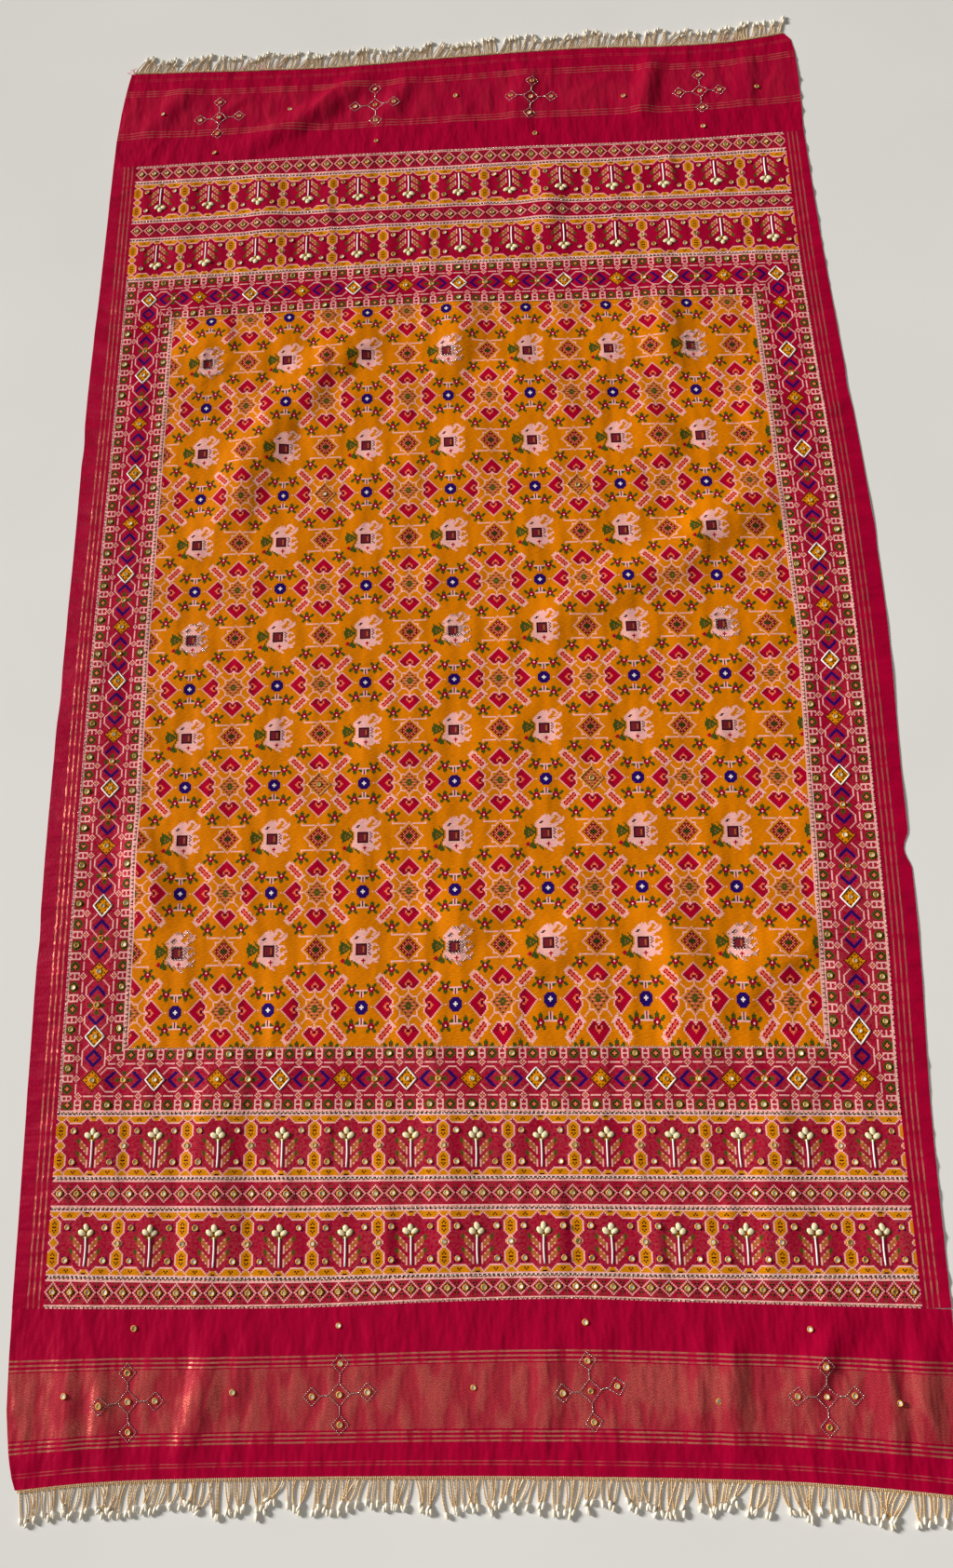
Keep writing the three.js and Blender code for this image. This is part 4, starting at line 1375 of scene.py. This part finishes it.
# %% [markdown]
# A mirror is a small round of silvered glass held by a ring of gold thread. No two lie quite level, so
# some catch the lamp, some the pale room and some the dark. Their colour, tan to white from one mirror
# to the next, is a painted reflection.
# %% Sew the mirrors on
MIRROR_RADIUS = 2.7
end_places = on_cloth(*np.array(medallion_mirrors + single_mirrors).T)
mirror_places = np.concatenate([at_cells(mirrors), end_places])
count = len(mirror_places)
tips = rng.normal(0, 0.10, (2, count))
level = turned(rng.uniform(0, 6.28, count), tips[0], tips[1])
glass_sizes = np.stack([rng.uniform(0.92, 1.12, count) * MIRROR_RADIUS] * 2 + [np.full(count, 0.45)], -1)
glass_places = mirror_places + (0, 0, 0.15)
copies("mirrors", disc(9), glass_places, glass_sizes, level, mirror_painted_reflection, smooth=False)
ring_sizes = np.repeat(glass_sizes[:, :1] * 1.08, 3, axis=1)
copies("mirror_rings", ring_shape(10, 4, 0.26), mirror_places, ring_sizes, level, gold_thread)

# %% [markdown]
# White cord is couched round every second diamond of the frame and up the stem of each tree, and gold
# cord round the four mirrored stars. Three padded petals of cream silk crown each tree.
# %% White cords and cream petals
DIAMOND_CELLS = np.array([6.6, 7.4])
STAR_CELLS = 8.6
WHITE_CORD, GOLD_CORD = 1.1, 0.7
CORD_LIFT = 0.3
CORNERS = np.array([(1, 0), (0, 1), (-1, 0), (0, -1), (1, 0)])


def diamond_path(c, r, half):
    ends = np.array([c, r]) + half * CORNERS
    pieces = [ends[k] + (ends[k + 1] - ends[k]) * t for k in range(4) for t in (0, 0.25, 0.5, 0.75)]
    return at_cells(pieces + [ends[4]], CORD_LIFT)


white_paths = [diamond_path(c, r, DIAMOND_CELLS) for c, r in white_diamonds]
petals, petal_turns = [], []
for name, low, high, turned_round in tree_bands:
    row_of = tree_rows(low, high, turned_round)
    for c in tree_columns:
        sway = rng.uniform(-0.5, 0.5)
        stem = [(c + sway * math.sin(3 * s), row_of(7 + 18 * s)) for s in np.linspace(0, 1, 7)]
        white_paths.append(at_cells(stem, CORD_LIFT))
        for dc, r, spin in ((-2.9, 27.6, 0.9), (2.9, 27.4, -0.9), (0.1, 30.3, 0.1)):
            petals.append((c + dc + rng.uniform(-0.4, 0.4), row_of(r + rng.uniform(-0.4, 0.4))))
            petal_turns.append((spin + rng.uniform(-0.3, 0.3)) * (-1 if turned_round else 1))
cords("white_cords", white_paths, WHITE_CORD, 5, white_thread)
star_paths = [diamond_path(c, r, STAR_CELLS) for c, r in starred]
cords("star_cords", star_paths, GOLD_CORD, 5, gold_thread)
petal_sizes = np.stack([rng.uniform(3.2, 4.0, len(petals)), rng.uniform(4.4, 5.4, len(petals)),
                        np.full(len(petals), 1.2)], -1)
copies("petals", ball(8, 4), at_cells(petals, 0.7), petal_sizes, turned(petal_turns), cream_petal)

# %% [markdown]
# Strings of small beads lie along every line between two bands and round the field. They aren't perfectly
# even: some beads stand a little apart, and where light hits them they glint.
# %% Bead lines
BEAD_STEP = 2.35
BEAD_SIZE = 0.92
BEAD_LIFT = 0.45


def string(c0, r0, c1, r1):
    """Bead places along one straight line of the weave."""
    ends = cell_place(np.array([c0, c1]), np.array([r0, r1]))
    count = int(np.hypot(np.diff(ends[0]), np.diff(ends[1]))[0] / BEAD_STEP)
    share = (np.arange(count) + 0.5 + rng.uniform(-0.18, 0.18, count)) / count
    places = np.stack(cell_place(c0 + (c1 - c0) * share, r0 + (r1 - r0) * share), -1)
    return places + rng.normal(0, 0.2, places.shape)


bead_places = [string(0.5, MARK[name], CELLS - 0.5, MARK[name]) for name in (
    "lower trees", "inner chain", "upper trees", "frame", "frame end", "upper trees end", "inner chain end",
    "lower trees end")]
bead_places += [string(0.5, 1, CELLS - 0.5, 1), string(0.5, ROWS - 1, CELLS - 0.5, ROWS - 1)]
bead_places += [string(FRAME_WIDE, MARK[name], FIELD_RIGHT, MARK[name]) for name in ("field", "field end")]
bead_places += [string(c, MARK["field"], c, MARK["field end"]) for c in (FRAME_WIDE - 2, FIELD_RIGHT + 2)]
bead_places += [string(c, MARK["frame"], c, MARK["frame end"]) for c in (0.6, CELLS - 0.6)]
bead_places = np.concatenate(bead_places)
bead_places = bead_places[rng.uniform(size=len(bead_places)) < 0.9]

body = elephant_chart == "p"
padded_body = np.pad(body, 1)
open_sides = sum(~np.roll(padded_body, shift, axis)[1:-1, 1:-1] for shift in (-1, 1) for axis in (0, 1))
tall, wide = np.mgrid[0:ELEPHANT_TALL, 0:ELEPHANT_WIDE]
beaded = (body & (open_sides > 0) | (elephant_chart == "k")) & ((tall + wide) % 2 == 0)
outline_rows, outline_columns = np.nonzero(beaded)
elephant_places = []
for k in (0, 3, 6):
    for j in (0, 3, 6):
        c = FRAME_WIDE - 1 + STAR_PITCH_ACROSS * (k + 0.5) + ELEPHANT_LEFT
        r = MARK["star row 1"] + STAR_PITCH * (j + 0.5) + ELEPHANT_TOP
        elephant_places.append(np.stack(cell_place(c + outline_columns + 0.5, r - outline_rows + 0.5), -1))
small_places = np.concatenate([np.array(medallion_beads), *elephant_places])

octahedron = ball(4, 2)
silver_places = on_cloth(*bead_places[1::2].T, BEAD_LIFT)
copies("line_beads_silver", octahedron, silver_places, BEAD_SIZE, turned(0.4), silver_bead)
gold_places = on_cloth(*bead_places[::2].T, BEAD_LIFT)
copies("line_beads_gold", octahedron, gold_places, BEAD_SIZE, turned(1.1), gold_bead)
small_places = on_cloth(*small_places.T, 0.4)
copies("small_beads", octahedron, small_places, 1.0, turned(0.2), silver_bead)
print(len(bead_places), "line beads,", len(small_places), "small beads")

# %% [markdown]
# The fringe: a header of gold beads along each end, and strings of tiny pale gold beads that each end in
# a pearl drop. The strings lean together in clumps, as they fall when the cloth is laid down. They follow
# the part's fringe, with more and finer strings.
# %% Fringe
HEADER_SPAN = {"near": (-538, 529), "far": (-543, 528)}
HEADER_WIDTH, HEADER_HEIGHT, SEAM_GAP = 3.0, 2.4, 0.3
HEADER_BEAD, HEADER_COUNT = 1.2, 460
STRAND_INSET = 4
STRANDS = 205
STRAND_LENGTH = {"near": 27.0, "far": 24.5}
STRAND_DRIFT = {"near": -0.08, "far": 0.32}
DROP_LENGTH, DROP_RADIUS = 9.4, 2.1
STRING_RADIUS = 0.9
STATIONS_ON_STRING = 19


def fringe(end):
    outward, column = (1, FAR_END) if end == "far" else (-1, NEAR_END)
    to_header = outward * (SEAM_GAP + HEADER_WIDTH / 2)
    from_x, to_x = HEADER_SPAN[end]
    header_x = np.linspace(from_x + HEADER_BEAD, to_x - HEADER_BEAD, HEADER_COUNT)
    header_y = through(cross_lines, column, header_x) + to_header
    lift = height(header_x, header_y) + 1.35
    rows = [np.stack([header_x, header_y + outward * row * 0.8, lift], -1) for row in (-1, 1)]
    beads = np.concatenate(rows)
    beads += rng.normal(0, 0.06, beads.shape)
    header = copies(f"fringe_{end}_header", octahedron, beads, HEADER_BEAD, turned(0.6), gold_bead)
    share = (np.arange(STRANDS) + rng.uniform(-0.3, 0.3, STRANDS)) / (STRANDS - 1)
    x0 = from_x + STRAND_INSET + (to_x - from_x - 2 * STRAND_INSET) * np.clip(share, 0, 1)
    y0 = through(cross_lines, column, x0) + to_header
    wave = 0.13 * np.sin(31 * share) + 0.11 * np.sin(77 * share + 1) + 0.10 * np.sin(143 * share + 2)
    lean = STRAND_DRIFT[end] + wave + rng.normal(0, 0.13, STRANDS)
    length = STRAND_LENGTH[end] + 3 * np.sin(53 * share + 2) + 2 * np.sin(127 * share)
    length += rng.normal(0, 2.2, STRANDS)
    bend = rng.normal(0, 0.35, STRANDS)
    s = np.linspace(0, 1, STATIONS_ON_STRING)
    knobbly = STRING_RADIUS * np.where(np.arange(STATIONS_ON_STRING) % 2 == 0, 1.12, 0.68)
    paths, drops, drop_turns = [], [], []
    for k in range(STRANDS):
        angle = lean[k] + bend[k] * (s - 0.3)
        step = length[k] / (STATIONS_ON_STRING - 1)
        x = x0[k] + np.concatenate([[0], np.cumsum(np.sin(angle[:-1]) * step)])
        y = y0[k] + outward * np.concatenate([[0], np.cumsum(np.cos(angle[:-1]) * step)])
        root = height(x0[k], y0[k]) + HEADER_HEIGHT / 2
        floor_height = STRING_RADIUS + 0.2 + rng.uniform(0, 1.6) * (1 - s)
        z = root + (floor_height - root) * np.clip(s / 0.55, 0, 1) ** 0.8
        paths.append(np.stack([x, y, np.maximum(z, STRING_RADIUS + 0.2)], -1))
        tip = angle[-1]
        hang = DROP_LENGTH * 0.42
        drop_x, drop_y = x[-1] + math.sin(tip) * hang, y[-1] + outward * math.cos(tip) * hang
        drops.append((drop_x, drop_y, DROP_RADIUS + 0.1))
        drop_turns.append(-outward * tip)
    strings = cords(f"fringe_{end}_strings", paths, knobbly, 4, gold_bead)
    drop_wide = rng.uniform(0.9, 1.1, STRANDS) * DROP_RADIUS
    drop_long = rng.uniform(0.9, 1.1, STRANDS) * DROP_LENGTH / 2
    sizes = np.stack([drop_wide, drop_long, np.full(STRANDS, DROP_RADIUS)], -1)
    pearls = copies(f"fringe_{end}_pearls", ball(8, 5), drops, sizes, turned(drop_turns), pearl)
    for piece in (header, strings, pearls):
        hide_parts(f"fringe_{end}")


fringe("near")
fringe("far")

# %% [markdown]
# A small knot of pink thread is left at the far left corner, and a few loose ends hang out along the far
# edge.
# %% Loose threads
loose_starts = [
    # x, y, reach, heading
    (-545, 1060, 9, 2.2), (-543, 1061, 11, 1.5), (-546, 1059, 8, 2.9), (-330, 1049, 13, 1.2),
    (-318, 1048, 9, 2.0), (-300, 1048, 15, 0.8), (432, 1044, 12, 1.1), (446, 1045, 14, 0.3),
    (-356, 1050, 10, 2.4),
]
THREAD_STEPS = 8
s = np.linspace(0, 1, THREAD_STEPS + 1)
loose = []
for x, y, reach, heading in loose_starts:
    curl = heading + 1.6 * s * rng.uniform(-1, 1)
    px = x + np.concatenate([[0], np.cumsum(np.cos(curl[:-1]) * reach / THREAD_STEPS)])
    py = y + np.concatenate([[0], np.cumsum(np.sin(curl[:-1]) * reach / THREAD_STEPS)])
    loose.append(np.stack([px, py, 3.4 - 2.4 * s], -1))
cords("loose_threads", loose, 0.45, 4, pink_thread)

# %% [markdown]
# Light: a bright plain room. The main light comes in low from the left, as through a wide and distant
# window, and rakes over the cloth, so that each fold has a light and a dark side. Being distant, it is as
# bright at one end as at the other. A lamp overhead is mirrored by the metal yarn of the near end, and
# the room itself fills the rest.
# %% Light


def lamp(name, kind, place, target, power):
    light = bpy.data.lights.new(name, kind)
    light.energy = power
    holder = bpy.data.objects.new(name, light)
    holder.location = place
    holder.rotation_euler = (Vector(target) - Vector(place)).to_track_quat("-Z", "Y").to_euler()
    bpy.context.scene.collection.objects.link(holder)
    return light


window = lamp("window_light", "SUN", (-4.0, 1.4, 1.7), (0, 0, 0), 5.2)
window.angle = 0.22
overhead = lamp("over_near_end", "AREA", (0.2, -0.95, 2.6), (0, -0.75, 0), 7)
overhead.size = 1.2
ROOM_COLOUR, ROOM_STRENGTH = (1.0, 0.98, 0.95, 1), 0.17
world = bpy.data.worlds.new("room")
bpy.context.scene.world = world
world.use_nodes = True
background = world.node_tree.nodes["Background"]
background.inputs["Color"].default_value = ROOM_COLOUR
background.inputs["Strength"].default_value = ROOM_STRENGTH
bpy.context.scene.view_settings.view_transform = "Standard"

# %% [markdown]
# Last, the triangle count of the dress is printed, with its largest piece.
# %% Triangle count
print("triangles:", sum(triangles.values()), "largest:", max(triangles.items(), key=lambda item: item[1]))
